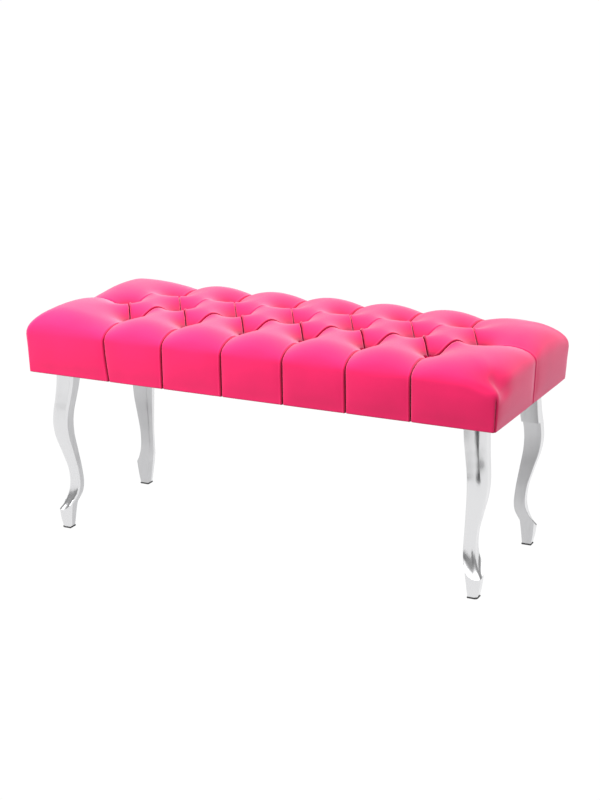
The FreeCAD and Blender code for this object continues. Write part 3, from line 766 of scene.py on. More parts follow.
def front_panel(form, steps, i, turned):
    """A panel between two pleats of the front, up to a tuft of the middle row.

    turned is 1 for the front and -1 for the back, where the patch is mirrored afterwards.
    """
    seat = form.seat
    left, top, right = (np.array(place) for place in (form.front[i], form.middle[i + 1], form.front[i + 1]))
    roof = np.vstack([left + steps[:, None] * (top - left), top + steps[1:, None] * (right - top)])
    share = (roof[:, 0] - left[0]) / (right[0] - left[0])
    columns = len(roof)
    foot_x = roof[:, 0] + seat.pleat_lean
    core = np.column_stack([foot_x, np.full(columns, seat.corner_radius - HALF_DEPTH)])
    panel = EdgePanel(form, roof, core, np.tile([0.0, -1.0], (columns, 1)))
    panel.roof_drop = form.along_crease(np.concatenate([steps, steps[1:]]))
    rim_arch = 2.4
    crown_share = 1 - np.abs(2 * share - 1) ** rim_arch
    panel.rim_drop = seat.pleat_drop + (seat.rim_drop - seat.pleat_drop) * crown_share
    to_left = foot_x - foot_x[0]
    to_right = foot_x[-1] - foot_x
    panel.face_folds = form.slit(to_left) + form.slit(to_right) - form.lip(to_right)
    panel.face_shade = np.maximum(form.shade(to_left), form.shade(to_right))
    panel.valley = pleat_valley(np.minimum(to_left, to_right))
    if i == 0:
        panel.slant = seat.first_slant * (1 - share)
    panel.pleats = [(tuple(left), (foot_x[0], -HALF_DEPTH)), (tuple(right), (foot_x[-1], -HALF_DEPTH))]
    panel.full_drop = seat.panel_drop
    panel.turned = turned
    return panel.patch()


def pleat_valley(away):
    """Soft hollow of a face beside a pleat."""
    depth = 0.0016
    reach = 0.012
    return depth * np.exp(-(away / reach) ** 1.5)


def corner_panel(form, steps, side, turned):
    """The panel round a front corner, from the last pleat to the end pleat, made at the right end.

    side is 1 for the right end and -1 for the left one, turned is 1 for the front and -1 for the back: the
    patch is mirrored afterwards. The left end is stuffed fuller than the right one.
    """
    seat = form.seat
    roll_reach, edge_reach, drop_reach, rim_reach = 0.07, 0.045, 0.085, 0.045
    lap_reach = 0.030
    padding_at_pleat, padding_at_end, full_share = 0.6, 1.4, 0.72
    tired = 1.0 if side > 0 else 0.3
    pleat = np.array(form.front[-1])
    tuft = np.array(form.middle[-1])
    roof = pleat + steps[:, None] * (tuft - pleat)
    arc = seat.corner_radius * math.pi / 2
    foot_way = pleat[0] + side * seat.pleat_lean
    corner_way = HALF_LENGTH - seat.corner_radius + arc / 2
    end_way = HALF_LENGTH - seat.corner_radius + arc + HALF_DEPTH - seat.corner_radius
    half = both_ends_fine(count=(len(steps) - 1) // 2, power=2.0)
    way = np.concatenate([
        foot_way + half * (corner_way - foot_way),
        corner_way + half[1:] * (end_way - corner_way),
    ])
    panel = EdgePanel(form, roof, *outline_at(way, seat.corner_radius))
    to_pleat, to_corner, to_end = way - foot_way, np.abs(way - corner_way), end_way - way
    panel.side = side
    panel.turned = turned
    panel.roll += tired * (seat.corner_roll - seat.side_roll) * np.exp(-(to_corner / roll_reach) ** 2)
    panel.roof_drop = form.along_crease(steps)
    panel.edge -= tired * seat.corner_edge * np.exp(-(to_corner / edge_reach) ** 2)
    to_fold = np.minimum(to_pleat, to_end)
    full_rim = seat.pleat_drop + (seat.rim_drop - seat.pleat_drop) * smooth_step(to_fold / rim_reach)
    near_corner = np.exp(-(to_corner / drop_reach) ** 2)
    panel.rim_drop = full_rim + tired * (seat.corner_drop - full_rim) * near_corner
    panel.face_folds = form.slit(to_pleat) + form.slit(to_end) - form.lip(to_end)
    if side < 0:
        panel.face_folds -= form.lip(to_pleat)
        panel.lip_side = 1
        panel.slant = -seat.first_slant * np.clip(1 - to_pleat / (corner_way - foot_way), 0, 1)
    panel.face_shade = np.maximum(form.shade(to_pleat), form.shade(to_end))
    panel.valley = pleat_valley(to_fold)
    end_lap = np.where(way > corner_way, seat.lap * np.exp(-to_corner / lap_reach), 0)
    panel.late_folds = form.slit(to_corner) + end_lap
    panel.late_shade = form.shade(to_corner)
    panel.pleats = [(tuple(pleat), (foot_way, -HALF_DEPTH)), (tuple(tuft), (HALF_LENGTH, 0.0))]
    panel.fullness = np.linspace(padding_at_pleat, padding_at_end, len(steps))
    panel.full_at = (panel.FULL_ROW, round(full_share * len(steps)))
    panel.full_drop = seat.panel_drop
    return panel.patch()


def corner_dent(patch):
    """The soft hollow above a corner fold, on the end side, where the cloth is drawn together, with shade
    painted darker into it.
    """
    centre = np.array([HALF_LENGTH - 0.010, 0.026 - HALF_DEPTH, CROWN - 0.038])
    reach = np.array([0.046, 0.030, 0.024])
    depth = 0.010
    darkest_painted_shade = 0.28
    inwards = np.array([-0.80, 0.10, -0.60])
    away = (((patch[..., :3] - centre) / reach) ** 2).sum(axis=-1)
    dented = patch.copy()
    dented[..., :3] += inwards * (depth * np.exp(-away))[..., None]
    # Shade painted into the dent's pile colour
    dented[..., 3] = np.maximum(patch[..., 3], darkest_painted_shade * np.exp(-away))
    return dented


def fold_shades(mesh):
    """The fold shade of every point of a mesh."""
    shades = np.zeros(len(mesh.vertices))
    mesh.attributes["fold_shade"].data.foreach_get("value", shades)
    return shades


def patch_mesh(name, patches):
    """One mesh of the patches, joined along their shared lines, with the fold shade of every point."""
    shape = bmesh.new()
    shade = shape.verts.layers.float.new("fold_shade")
    for patch in patches:
        rows, columns = patch.shape[:2]
        verts = []
        for line in patch:
            verts.append([])
            for point in line:
                vert = shape.verts.new(point[:3])
                vert[shade] = point[3]
                verts[-1].append(vert)
        for i in range(rows - 1):
            for j in range(columns - 1):
                shape.faces.new((verts[i][j], verts[i + 1][j], verts[i + 1][j + 1], verts[i][j + 1]))
    weld_distance = 3e-5
    bmesh.ops.remove_doubles(shape, verts=shape.verts, dist=weld_distance)
    mesh = outward_mesh(name, shape)
    shade_smooth(mesh)
    shades = fold_shades(mesh)
    # Faces deep in the painted shade take the dark velvet without sheen, as painted shade
    painted_shade_above = 0.6
    for face in mesh.polygons:
        face.material_index = int(shades[list(face.vertices)].mean() > painted_shade_above)
    return mesh


def mirrored(patch, side_x, side_y):
    """A patch turned to another quarter of the seat."""
    return patch * np.array([side_x, side_y, 1.0, 1.0])


def moved_along(patch, step):
    """A patch moved along the bench."""
    return patch + np.array([step, 0.0, 0.0, 0.0])


# Settling of the cover


def coarse_lines(count):
    """Every third line of a grid, with the last one."""
    return np.unique(np.append(np.arange(0, count, 3), count - 1))


def settle_cloth(mesh, seat):
    """Where every point of a mesh starts, and how far Blender's cloth moves it over the padding."""
    last_frame = 12
    held_shade = 0.5
    held_edge = 0.012
    held_below = SEAT_BOTTOM + held_edge
    piece = link_mesh("settling", mesh)
    start = np.array([vert.co for vert in mesh.vertices])
    held_points = np.flatnonzero((fold_shades(mesh) > held_shade) | (start[:, 2] < held_below))
    held = piece.vertex_groups.new(name="held")
    held.add(held_points.tolist(), 1.0, "REPLACE")
    cloth = piece.modifiers.new("settling", "CLOTH")
    cloth.point_cache.frame_start = 1
    cloth.point_cache.frame_end = last_frame
    settings = cloth.settings
    settings.quality = 5
    settings.mass = 0.3
    settings.tension_stiffness = 15
    settings.compression_stiffness = 15
    settings.shear_stiffness = 5
    settings.bending_stiffness = 0.5
    settings.use_pressure = True
    settings.uniform_pressure_force = seat.pressure
    settings.vertex_group_mass = held.name
    settings.effector_weights.gravity = 0
    for frame_number in range(1, last_frame + 1):
        bpy.context.scene.frame_set(frame_number)
    graph = bpy.context.evaluated_depsgraph_get()
    settled = bpy.data.meshes.new_from_object(piece.evaluated_get(graph), depsgraph=graph)
    moved = np.array([vert.co for vert in settled.vertices]) - start
    bpy.data.objects.remove(piece)
    bpy.data.meshes.remove(settled)
    bpy.data.meshes.remove(mesh)
    bpy.context.scene.frame_set(1)
    no_move = 1e-9
    length = np.maximum(np.linalg.norm(moved, axis=1), no_move)
    capped = seat.swell_cap * np.tanh(length / seat.swell_cap)
    return start, moved * (capped / length)[:, None]


def settled_patches(patches, seat):
    """The patches after a coarse copy of them has settled as cloth."""
    picks = [tuple(coarse_lines(count) for count in patch.shape[:2]) for patch in patches]
    coarse = [patch[np.ix_(*pick)] for patch, pick in zip(patches, picks)]
    start, moved = settle_cloth(patch_mesh("settling", coarse), seat)
    places = KDTree(len(start))
    for i, place in enumerate(start):
        places.insert(place, i)
    places.balance()
    result = []
    for patch, (rows, columns), grid in zip(patches, picks, coarse):
        nearest = [places.find(point[:3])[1] for point in grid.reshape(-1, 4)]
        moves = moved[nearest].reshape(len(rows), len(columns), 3)
        moves = through(np.arange(patch.shape[0]), rows, moves)
        moves = through(np.arange(patch.shape[1]), columns, moves.swapaxes(0, 1)).swapaxes(0, 1)
        follows = patch.copy()
        follows[..., :3] += moves
        result.append(follows)
    return result


def add_sheen(shader, weight):
    """The pale sheen and the dull gloss of a short pile."""
    shader.inputs["Specular IOR Level"].default_value = 0.15
    shader.inputs["Sheen Weight"].default_value = weight
    shader.inputs["Sheen Roughness"].default_value = 0.42
    shader.inputs["Sheen Tint"].default_value = (1.0, 0.48, 0.62, 1)


def add_pile(tree, shader):
    """The fine relief of the single fibres."""
    fibres = object_noise(tree, scale=1500, detail=2)
    add_bump(tree, shader, fibres, distance=0.0004, strength=0.3)


def velvet_material(seat):
    """Short dense pile: deep pink with a pale sheen, a nap in soft patches, and shade painted dark into the
    folds and round the tufts.
    """
    material, tree, shader = new_material("velvet", seat.velvet, roughness=0.8)
    add_sheen(shader, 1.0)
    nap = object_noise(tree, scale=16, detail=5, stretch=(1, 1, 0.6))
    pile_colour = colour_between(tree, nap, darker(seat.velvet, 0.92), seat.velvet)
    # The fold_shade attribute paints shade into the pile colour: in the folds, round the tufts and in the
    # corner dent
    painted_shade_gain = 1.8
    folds = add_node(tree, "ShaderNodeAttribute", attribute_name="fold_shade")
    painted_shade_share = add_node(tree, "ShaderNodeMath", {1: painted_shade_gain}, {0: folds.outputs["Fac"]},
                      operation="MULTIPLY", use_clamp=True)
    mix = add_node(tree, "ShaderNodeMix", {"B": (*seat.fold_shade, 1)},
                   {"Factor": painted_shade_share.outputs["Value"], "A": pile_colour}, data_type="RGBA")
    tree.links.new(mix.outputs["Result"], shader.inputs["Base Color"])
    add_pile(tree, shader)
    return material


def painted_shade_material(seat):
    """Dark velvet without sheen, laid as painted shade on the faces deepest in the folds and round the
    tufts.
    """
    material = grained_material("painted_shade_velvet", seat.fold_shade, roughness=0.9, grain=(120, 3),
                                tints=(0.8, 1.0))
    shader = material.node_tree.nodes["Principled BSDF"]
    shader.inputs["Specular IOR Level"].default_value = 0.05
    return material


class BENCH_OT_velvet_cover(bpy.types.Operator):
    """Make the tufted velvet over the foam"""
    bl_idname = "bench.velvet_cover"
    bl_label = "Velvet cover"

    def execute(self, context):
        seat = context.scene.bench_seat
        form = SeatForm(seat)
        steps = both_ends_fine(count=44, power=1.6)
        corner_steps = both_ends_fine(count=64, power=1.5)
        diamond = diamond_patch(form, steps, 0)
        patches = [moved_along(diamond, i * form.pitch) for i in range(MIDDLE_TUFTS - 1)]
        for turned in (1, -1):
            panels = [front_panel(form, steps, 0, turned)]
            second_panel = front_panel(form, steps, 1, turned)
            panels += [moved_along(second_panel, i * form.pitch) for i in range(MIDDLE_TUFTS - 3)]
            patches += [mirrored(panel, 1, turned) for panel in panels]
            for side in (-1, 1):
                corner = corner_panel(form, corner_steps, side, turned)
                if turned > 0 and side > 0:
                    corner = corner_dent(corner)
                patches.append(mirrored(corner, side, turned))
        patches = settled_patches(patches, seat)
        cover = link_mesh("tufted_velvet", patch_mesh("tufted_velvet", patches))
        cover.data.materials.append(velvet_material(seat))
        cover.data.materials.append(painted_shade_material(seat))
        finish_piece(cover, "velvet", "velvet_cover", "foam_core", "side_wadding")
        return {"FINISHED"}


# Legs and glides


def leg_section(leg, station):
    """One ring of a leg: places along its two sides, how far from the outer corner, polished or satin."""
    inner, outer, outer_round = station.inner, station.outer, station.round
    edge = leg.edge_round
    corner_points, edge_points = 13, 4
    face = both_ends_fine(count=10, power=1.8)
    dish = leg.dish * np.sin(math.pi * face)
    turn = np.linspace(0, math.pi / 2, corner_points)[1:-1]
    small_turn = np.linspace(0, math.pi / 2, edge_points)
    run = inner + edge + face * (outer - outer_round - inner - edge)
    centre = outer - outer_round
    inner_run = np.linspace(outer - edge, inner + edge, edge_points)[1:-1]
    side_a, corner, side_b = (small_turn + i * math.pi / 2 for i in (1, 2, 3))
    parts = [
        (outer - dish, run, 1 - face, 0),
        (centre + outer_round * np.cos(turn), centre + outer_round * np.sin(turn), 0, 0),
        (run[::-1], outer - dish[::-1], face, 0),
        (inner + edge + edge * np.cos(side_a)[1:], outer - edge + edge * np.sin(side_a)[1:], 1, 0),
        (np.full_like(inner_run, inner), inner_run, 1, 1),
        (inner + edge + edge * np.cos(corner), inner + edge + edge * np.sin(corner), 1, 1),
        (inner_run[::-1], np.full_like(inner_run, inner), 1, 1),
        (outer - edge + edge * np.cos(side_b)[:-1], inner + edge + edge * np.sin(side_b)[:-1], 1, 1),
    ]
    return [np.concatenate([np.broadcast_to(part[i], len(part[0])) for part in parts]) for i in range(4)]


def station_at(stations, height):
    """The section of a leg at a height between its stations."""
    heights = [station.height for station in stations]
    sizes = [through(height, heights, [station[i] for station in stations]) for i in range(1, 4)]
    return Station(height, *sizes)


def block_side(along_y, station):
    """Widens a section towards the bench's middle line to the block at the top of a leg."""
    corner = station.outer - station.round
    wider = (corner + BLOCK_HALF) / (corner - station.inner)
    return np.where(along_y < corner, corner - (corner - along_y) * wider, along_y)


def leg_rings(leg, has_ledge):
    """The rings of a leg from its sole to its top, and the finish of each strip round it."""
    toe = FOOT_STATIONS[-1].height
    top = SHANK_STATIONS[-1].height
    sole = FOOT_STATIONS[0].height
    foot_heights = sole + both_ends_fine(count=14, power=1.5) * (toe - sole)
    shank_rings, crowding_at_toe = 80, 1.25
    ledge = 0.0005
    shank_heights = toe + np.linspace(0, 1, shank_rings) ** crowding_at_toe * (top - toe)
    shank_heights = shank_heights[np.abs(shank_heights - BLOCK_FOOT) > 2 * ledge]
    shank_heights = np.sort(np.append(shank_heights, [BLOCK_FOOT - ledge, BLOCK_FOOT + ledge]))
    rings = []
    sections = [station_at(FOOT_STATIONS, height) for height in foot_heights]
    sections += [station_at(SHANK_STATIONS, height) for height in shank_heights[1:]]
    rise_ends = 0.105
    for station in sections:
        along_x, along_y, from_corner, finish = leg_section(leg, station)
        if has_ledge and station.height > BLOCK_FOOT:
            along_y = block_side(along_y, station)
        below = smooth_step((station.height - sole) / (toe - sole))
        above = smooth_step((rise_ends - station.height) / (rise_ends - toe))
        rise = leg.toe_rise * from_corner ** 2 * below * above
        rings.append(np.column_stack([along_x, along_y, station.height + rise]))
    return rings, finish


def glide_rings(leg):
    """The rings of a glide under a foot."""
    thickness = FOOT_STATIONS[0].height
    spread = 0.001
    bevel = 0.0006
    levels = ((0.0, bevel), (bevel, 0.0), (thickness - bevel, 0.0), (thickness, bevel))
    sole = FOOT_STATIONS[0]
    rings = []
    for height, inset in levels:
        station = Station(height, sole.inner - spread + inset, sole.outer + spread - inset, sole.round)
        along_x, along_y, from_corner, finish = leg_section(leg, station)
        rings.append(np.column_stack([along_x, along_y, np.full(len(along_x), height)]))
    return rings, finish


def ring_mesh(name, rings, finish, axis, side_x, side_y):
    """A closed mesh of rings, turned to a corner of the bench, with the finish of each strip."""
    crisp_angle = math.radians(32)
    shape = bmesh.new()
    verts = []
    for ring in rings:
        places = ring * np.array([side_x, side_y, 1]) + np.array([axis[0], axis[1], 0])
        verts.append([shape.verts.new(place) for place in places])
    count = len(verts[0])
    for low, high in zip(verts, verts[1:]):
        for i in range(count):
            j = (i + 1) % count
            face = shape.faces.new((low[i], low[j], high[j], high[i]))
            face.material_index = int(finish[i])
    shape.faces.new(verts[0])
    shape.faces.new(verts[-1])
    mesh = outward_mesh(name, shape)
    shade_smooth(mesh, crisp_angle)
    return mesh


def leg_axis(corner, side_x, side_y):
    """The upright axis of a leg, from the glide under it."""
    low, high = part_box(f"{corner}_glide")
    reach = (FOOT_STATIONS[0].inner + FOOT_STATIONS[0].outer) / 2
    return (low.x + high.x) / 2 - side_x * reach, (low.y + high.y) / 2 - side_y * reach


def polished_material(leg):
    """Cast aluminium polished to a mirror, with faint wear in its gloss."""
    material, tree, shader = new_material("polished_casting", leg.polished, roughness=0.12, metallic=1.0)
    wear = object_noise(tree, scale=60, detail=4)
    tree.links.new(value_between(tree, wear, 0.16, 0.24), shader.inputs["Roughness"])
    waves = object_noise(tree, scale=45, detail=2)
    add_bump(tree, shader, waves, distance=0.001, strength=0.02)
    return material


def satin_and_shade_material(leg):
    """The inner faces of the casting, brushed but not polished, with a darker colour as painted shade."""
    return grained_material("satin_and_shade_casting", leg.satin_and_shade, roughness=0.4, grain=(240, 3, (1, 1, 0.06)),
                            gloss=(0.30, 0.46), relief=(0.0002, 0.15), metallic=1.0)


def glide_material(leg):
    """Matt black plastic with a fine moulded grain."""
    return grained_material("glide_plastic", leg.glide, roughness=0.6, grain=(900, 2),
                            gloss=(0.5, 0.7), relief=(0.0002, 0.3))


class BENCH_OT_legs(bpy.types.Operator):
    """Make the four cast cabriole legs"""
    bl_idname = "bench.legs"
    bl_label = "Legs"

    def execute(self, context):
        leg = context.scene.bench_leg
        polished, satin_and_shade = polished_material(leg), satin_and_shade_material(leg)
        for corner, side_x, side_y in CORNERS:
            axis = leg_axis(corner, side_x, side_y)
            name = f"{corner}_casting"
            rings, finish = leg_rings(leg, has_ledge=side_y > 0)
            piece = link_mesh(name, ring_mesh(name, rings, finish, axis, side_x, side_y))
            piece.data.materials.append(polished)
            piece.data.materials.append(satin_and_shade)
            finish_piece(piece, "leg_metal", f"{corner}_leg")
        return {"FINISHED"}


class BENCH_OT_glides(bpy.types.Operator):
    """Make the four glides under the feet"""
    bl_idname = "bench.glides"
    bl_label = "Glides"

    def execute(self, context):
        leg = context.scene.bench_leg
        plastic = glide_material(leg)
        for corner, side_x, side_y in CORNERS:
            axis = leg_axis(corner, side_x, side_y)
            name = f"{corner}_foot_pad"
            rings, finish = glide_rings(leg)
            piece = link_mesh(name, ring_mesh(name, rings, finish, axis, side_x, side_y))
            piece.data.materials.append(plastic)
            finish_piece(piece, "glide", f"{corner}_glide")
        return {"FINISHED"}


# Node trees for what repeats


def new_tree(name, inputs):
    """A geometry node tree with named inputs, and its first and last node."""
    tree = bpy.data.node_groups.new(name, "GeometryNodeTree")
    tree.interface.new_socket("Geometry", in_out="INPUT", socket_type="NodeSocketGeometry")
    for label in inputs:
        socket = tree.interface.new_socket(label, in_out="INPUT", socket_type="NodeSocketFloat")
        socket.subtype = "DISTANCE"
    tree.interface.new_socket("Geometry", in_out="OUTPUT", socket_type="NodeSocketGeometry")
    return tree, tree.nodes.new("NodeGroupInput"), tree.nodes.new("NodeGroupOutput")


def end_tree(tree, last, geometry, material):
    """Makes the instances real, smooths them and sets their material."""
    steps = (
        ("GeometryNodeRealizeInstances", {}),
        ("GeometryNodeSetShadeSmooth", {}),
        ("GeometryNodeSetMaterial", {"Material": material}),
    )
    for kind, values in steps:
        geometry = add_node(tree, kind, values, {"Geometry": geometry}).outputs["Geometry"]
    tree.links.new(geometry, last.inputs["Geometry"])


def plain_mesh_of(piece, tree, values):
    """Runs a tree on a piece and leaves the result as its plain mesh."""
    modifier = piece.modifiers.new(tree.name, "NODES")
    modifier.node_group = tree
    for item in tree.interface.items_tree:
        if item.in_out == "INPUT" and item.name in values:
            modifier[item.identifier] = values[item.name]
    graph = bpy.context.evaluated_depsgraph_get()
    mesh = bpy.data.meshes.new_from_object(piece.evaluated_get(graph), depsgraph=graph)
    piece.modifiers.remove(modifier)
    guide = piece.data
    piece.data = mesh
    bpy.data.meshes.remove(guide)
    if not mesh.polygons:
        raise RuntimeError(f"{piece.name} has no faces")
    mesh.name = piece.name


def button_tree(material):
    """Domed buttons on the points of a mesh."""
    tree, first, last = new_tree("covered_buttons", ("Button radius", "Button height"))
    radius, height = first.outputs["Button radius"], first.outputs["Button height"]
    ball = add_node(tree, "GeometryNodeMeshUVSphere", {"Segments": 24, "Rings": 12}, {"Radius": radius})
    flatten = add_node(tree, "ShaderNodeMath", links={0: height, 1: radius}, operation="DIVIDE")
    size = add_node(tree, "ShaderNodeCombineXYZ", {"X": 1, "Y": 1}, {"Z": flatten.outputs["Value"]})
    place = add_node(tree, "GeometryNodeInstanceOnPoints", links={
        "Points": first.outputs["Geometry"],
        "Instance": ball.outputs["Mesh"],
        "Scale": size.outputs["Vector"],
    })
    end_tree(tree, last, place.outputs["Instances"], material)
    return tree


def button_material(seat):
    """The same velvet drawn tight over a button."""
    material, tree, shader = new_material("button_velvet", darker(seat.velvet, 0.8), roughness=0.8)
    add_sheen(shader, 0.6)
    nap = object_noise(tree, scale=90, detail=4)
    colour = colour_between(tree, nap, darker(seat.velvet, 0.7), darker(seat.velvet, 0.85))
    tree.links.new(colour, shader.inputs["Base Color"])
    add_pile(tree, shader)
    return material


class BENCH_OT_buttons(bpy.types.Operator):
    """Make the covered buttons at the bottom of the tufts"""
    bl_idname = "bench.buttons"
    bl_label = "Buttons"

    def execute(self, context):
        seat = context.scene.bench_seat
        form = SeatForm(seat)
        low, high = BUTTON_BOX
        radius = form.middle[0][0] - low.x
        height = (high.z - low.z) / 2
        mesh = bpy.data.meshes.new("covered_buttons")
        mesh.from_pydata([(x, y, low.z + height) for x, y in form.tufts], [], [])
        piece = link_mesh("covered_buttons", mesh)
        tree = button_tree(button_material(seat))
        plain_mesh_of(piece, tree, {"Button radius": radius, "Button height": height})
        finish_piece(piece, "velvet", "tuft_buttons")
        return {"FINISHED"}


# Underside


def fine_lines(edges, step):
    """Grid lines through all edges, no further apart than a step."""
    lines = [edges[0]]
    for start, end in zip(edges, edges[1:]):
        count = max(1, math.ceil((end - start) / step))
        lines += [start + (end - start) * (i + 1) / count for i in range(count)]
    return lines


def dust_material(under):
    """Black non-woven: matted fibres."""
    return grained_material("non_woven", under.cloth, roughness=0.85, grain=(420, 6),
                            tints=(0.5, 2.2), relief=(0.0004, 0.5))


class BENCH_OT_dust_cover(bpy.types.Operator):
    """Make the dust cover under the seat"""
    bl_idname = "bench.dust_cover"
    bl_label = "Dust cover"

    def execute(self, context):
        under = context.scene.bench_under
        low, high = SHEET_BOX
        opening = 0.0215
        grid_step = 0.012
        leg_x, leg_y = (abs(reach) for reach in leg_axis(*CORNERS[2]))
        lines_x, lines_y = (
            fine_lines((start, -leg - opening, opening - leg, leg - opening, leg + opening, end), grid_step)
            for start, leg, end in ((low.x, leg_x, high.x), (low.y, leg_y, high.y))
        )
        verts = [(x, y, self.level(under, x, y)) for x in lines_x for y in lines_y]
        across = len(lines_y)
        faces = []
        for i in range(len(lines_x) - 1):
            for j in range(across - 1):
                x = (lines_x[i] + lines_x[i + 1]) / 2
                y = (lines_y[j] + lines_y[j + 1]) / 2
                if abs(abs(x) - leg_x) < opening and abs(abs(y) - leg_y) < opening:
                    continue
                start = i * across + j
                faces.append((start, start + 1, start + across + 1, start + across))
        mesh = bpy.data.meshes.new("dust_sheet")
        mesh.from_pydata(verts, [], faces)
        shape = bmesh.new()
        shape.from_mesh(mesh)
        bmesh.ops.delete(shape, geom=[vert for vert in shape.verts if not vert.link_faces], context="VERTS")
        shape.to_mesh(mesh)
        shape.free()
        shade_smooth(mesh)
        piece = link_mesh("dust_sheet", mesh)
        mesh.materials.append(dust_material(under))
        finish_piece(piece, "dust_sheet", "dust_cover")
        return {"FINISHED"}

    @staticmethod
    def level(under, x, y):
        """Height of the cloth: held at its edges, hanging in the middle, puckered between staples."""
        low, high = SHEET_BOX
        belly = max(0.0, 1 - (x / high.x) ** 2) * max(0.0, 1 - (y / high.y) ** 2)
        to_edge = min(high.x - abs(x), high.y - abs(y))
        pucker_depth, pucker_reach, belly_power = 0.0004, 0.018, 0.8
        pucker = pucker_depth * math.exp(-to_edge / pucker_reach)
        turns = 2 * math.pi / under.staple_spacing
        wave = math.cos(turns * x) * math.cos(turns * y)
        return low.z - under.sag * belly ** belly_power - pucker * (1 + wave) / 2


def steel_material(under):
    """Zinc plated steel with a cloudy gloss."""
    return grained_material("plated_steel", under.steel, roughness=0.35, grain=(300, 3),
                            gloss=(0.25, 0.45), metallic=1.0)


def staple_tree(material):
    """Staple crowns along the edges of a mesh."""
    tree, first, last = new_tree("dust_cover_staples", ("Spacing", "Crown length", "Wire radius"))
    path = add_node(tree, "GeometryNodeMeshToCurve", links={"Mesh": first.outputs["Geometry"]})
    spread = add_node(tree, "GeometryNodeResampleCurve", mode="LENGTH", links={
        "Curve": path.outputs["Curve"],
        "Length": first.outputs["Spacing"],
    })
    crown = add_node(tree, "GeometryNodeMeshCylinder", {"Vertices": 8}, {
        "Radius": first.outputs["Wire radius"],
        "Depth": first.outputs["Crown length"],
    })
    along = add_node(tree, "GeometryNodeInputTangent")
    turn = add_node(tree, "FunctionNodeAlignRotationToVector", axis="Z",
                    links={"Vector": along.outputs["Tangent"]})
    place = add_node(tree, "GeometryNodeInstanceOnPoints", links={
        "Points": spread.outputs["Curve"],
        "Instance": crown.outputs["Mesh"],
        "Rotation": turn.outputs["Rotation"],
    })
    end_tree(tree, last, place.outputs["Instances"], material)
    return tree


class BENCH_OT_staples(bpy.types.Operator):
    """Make the staples that hold the dust cover"""
    bl_idname = "bench.staples"
    bl_label = "Staples"

    def execute(self, context):
        under = context.scene.bench_under
        low, high = SHEET_BOX
        half_x = high.x - under.staple_margin
        half_y = high.y - under.staple_margin
        level = low.z - under.staple_wire
        places = [(side_x * half_x, side_y * half_y, level) for corner, side_x, side_y in CORNERS]
        mesh = bpy.data.meshes.new("dust_cover_staples")
        mesh.from_pydata(places, [(0, 1), (1, 2), (2, 3), (3, 0)], [])
        piece = link_mesh("dust_cover_staples", mesh)
        values = {
            "Spacing": under.staple_spacing,
            "Crown length": under.staple_length,
            "Wire radius": under.staple_wire,
        }
        plain_mesh_of(piece, staple_tree(steel_material(under)), values)
        finish_piece(piece, "screw_steel")
        return {"FINISHED"}


def wood_material(name, colour, grain):
    """Planed wood: stretched grain with darker year rings."""
    return grained_material(name, colour, roughness=0.6, grain=(1, 6, grain), tints=(0.6, 1.0, 0.35, 0.6),
                            gloss=(0.5, 0.72), relief=(0.0006, 0.3))


def twine_material(under):
    """Waxed twine with its twist."""
    return grained_material("waxed_twine", under.twine, roughness=0.55, grain=(700, 2, (1, 1, 0.4)),
                            tints=(0.6, 1.0), relief=(0.0004, 0.6))


class BENCH_OT_frame_finish(bpy.types.Operator):
    """Give the frame inside its wood, steel and twine"""
    bl_idname = "bench.frame_finish"
    bl_label = "Frame finish"

    def execute(self, context):
        under = context.scene.bench_under
        long_grain = wood_material("timber_long", under.timber, (6, 90, 90))
        cross_grain = wood_material("timber_cross", under.timber, (90, 6, 90))
        upright_grain = wood_material("timber_upright", under.timber, (90, 90, 6))
        board = wood_material("birch_board", under.plywood, (8, 70, 400))
        steel = steel_material(under)
        finishes = {
            long_grain: ("front_rail", "back_rail"),
            cross_grain: ("left_rail", "right_rail", "left_cross_rail", "right_cross_rail", "twine_toggles"),
            upright_grain: [f"{corner}_corner_block" for corner, side_x, side_y in CORNERS],
            board: ("seat_board",),
            steel: ("rail_screws", "block_screws", "board_screws", "leg_studs", "threaded_inserts"),
            twine_material(under): ("tuft_twines",),
        }
        for material, names in finishes.items():
            for name in names:
                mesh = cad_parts[name].data
                mesh.materials.clear()
                mesh.materials.append(material)
        return {"FINISHED"}


# Stage


def studio_world(stage):
    """A soft studio: bright overhead, dimmer round the sides, dimmest behind the camera."""
    dark_height, dark_share = 0.18, 0.75
    right_share = 1.1
    world = bpy.data.worlds.new("studio")
    world.use_nodes = True
    tree = world.node_tree
    background = tree.nodes["Background"]
    background.inputs["Color"].default_value = (1, 1, 1, 1)
    way = add_node(tree, "ShaderNodeTexCoord").outputs["Generated"]
    split = add_node(tree, "ShaderNodeSeparateXYZ", links={"Vector": way})
    dark_way = Vector((math.sin(stage.azimuth), -math.cos(stage.azimuth), dark_height)).normalized()
    towards = add_node(tree, "ShaderNodeVectorMath", {1: dark_way}, {0: way}, operation="DOT_PRODUCT")
    strength = value_between(tree, split.outputs["Z"], stage.horizon, stage.zenith, 0.35, 0.95, "SMOOTHSTEP")
    shares = (
        value_between(tree, split.outputs["X"], 1.0, right_share, 0.25, 0.85, "SMOOTHSTEP"),
        value_between(tree, towards.outputs["Value"], 1.0, dark_share, 0.88, 0.96, "SMOOTHSTEP"),
    )
    for share in shares:
        product = add_node(tree, "ShaderNodeMath", links={0: strength, 1: share}, operation="MULTIPLY")
        strength = product.outputs["Value"]
    tree.links.new(strength, background.inputs["Strength"])
    return world


def flat_card(name, corners, material_name, colour):
    """A matt card through four corners, and its shader."""
    mesh = bpy.data.meshes.new(name)
    mesh.from_pydata(corners, [], [(0, 1, 2, 3)])
    material, tree, shader = new_material(material_name, colour, roughness=1.0)
    shader.inputs["Specular IOR Level"].default_value = 0
    mesh.materials.append(material)
    return link_mesh(name, mesh), shader


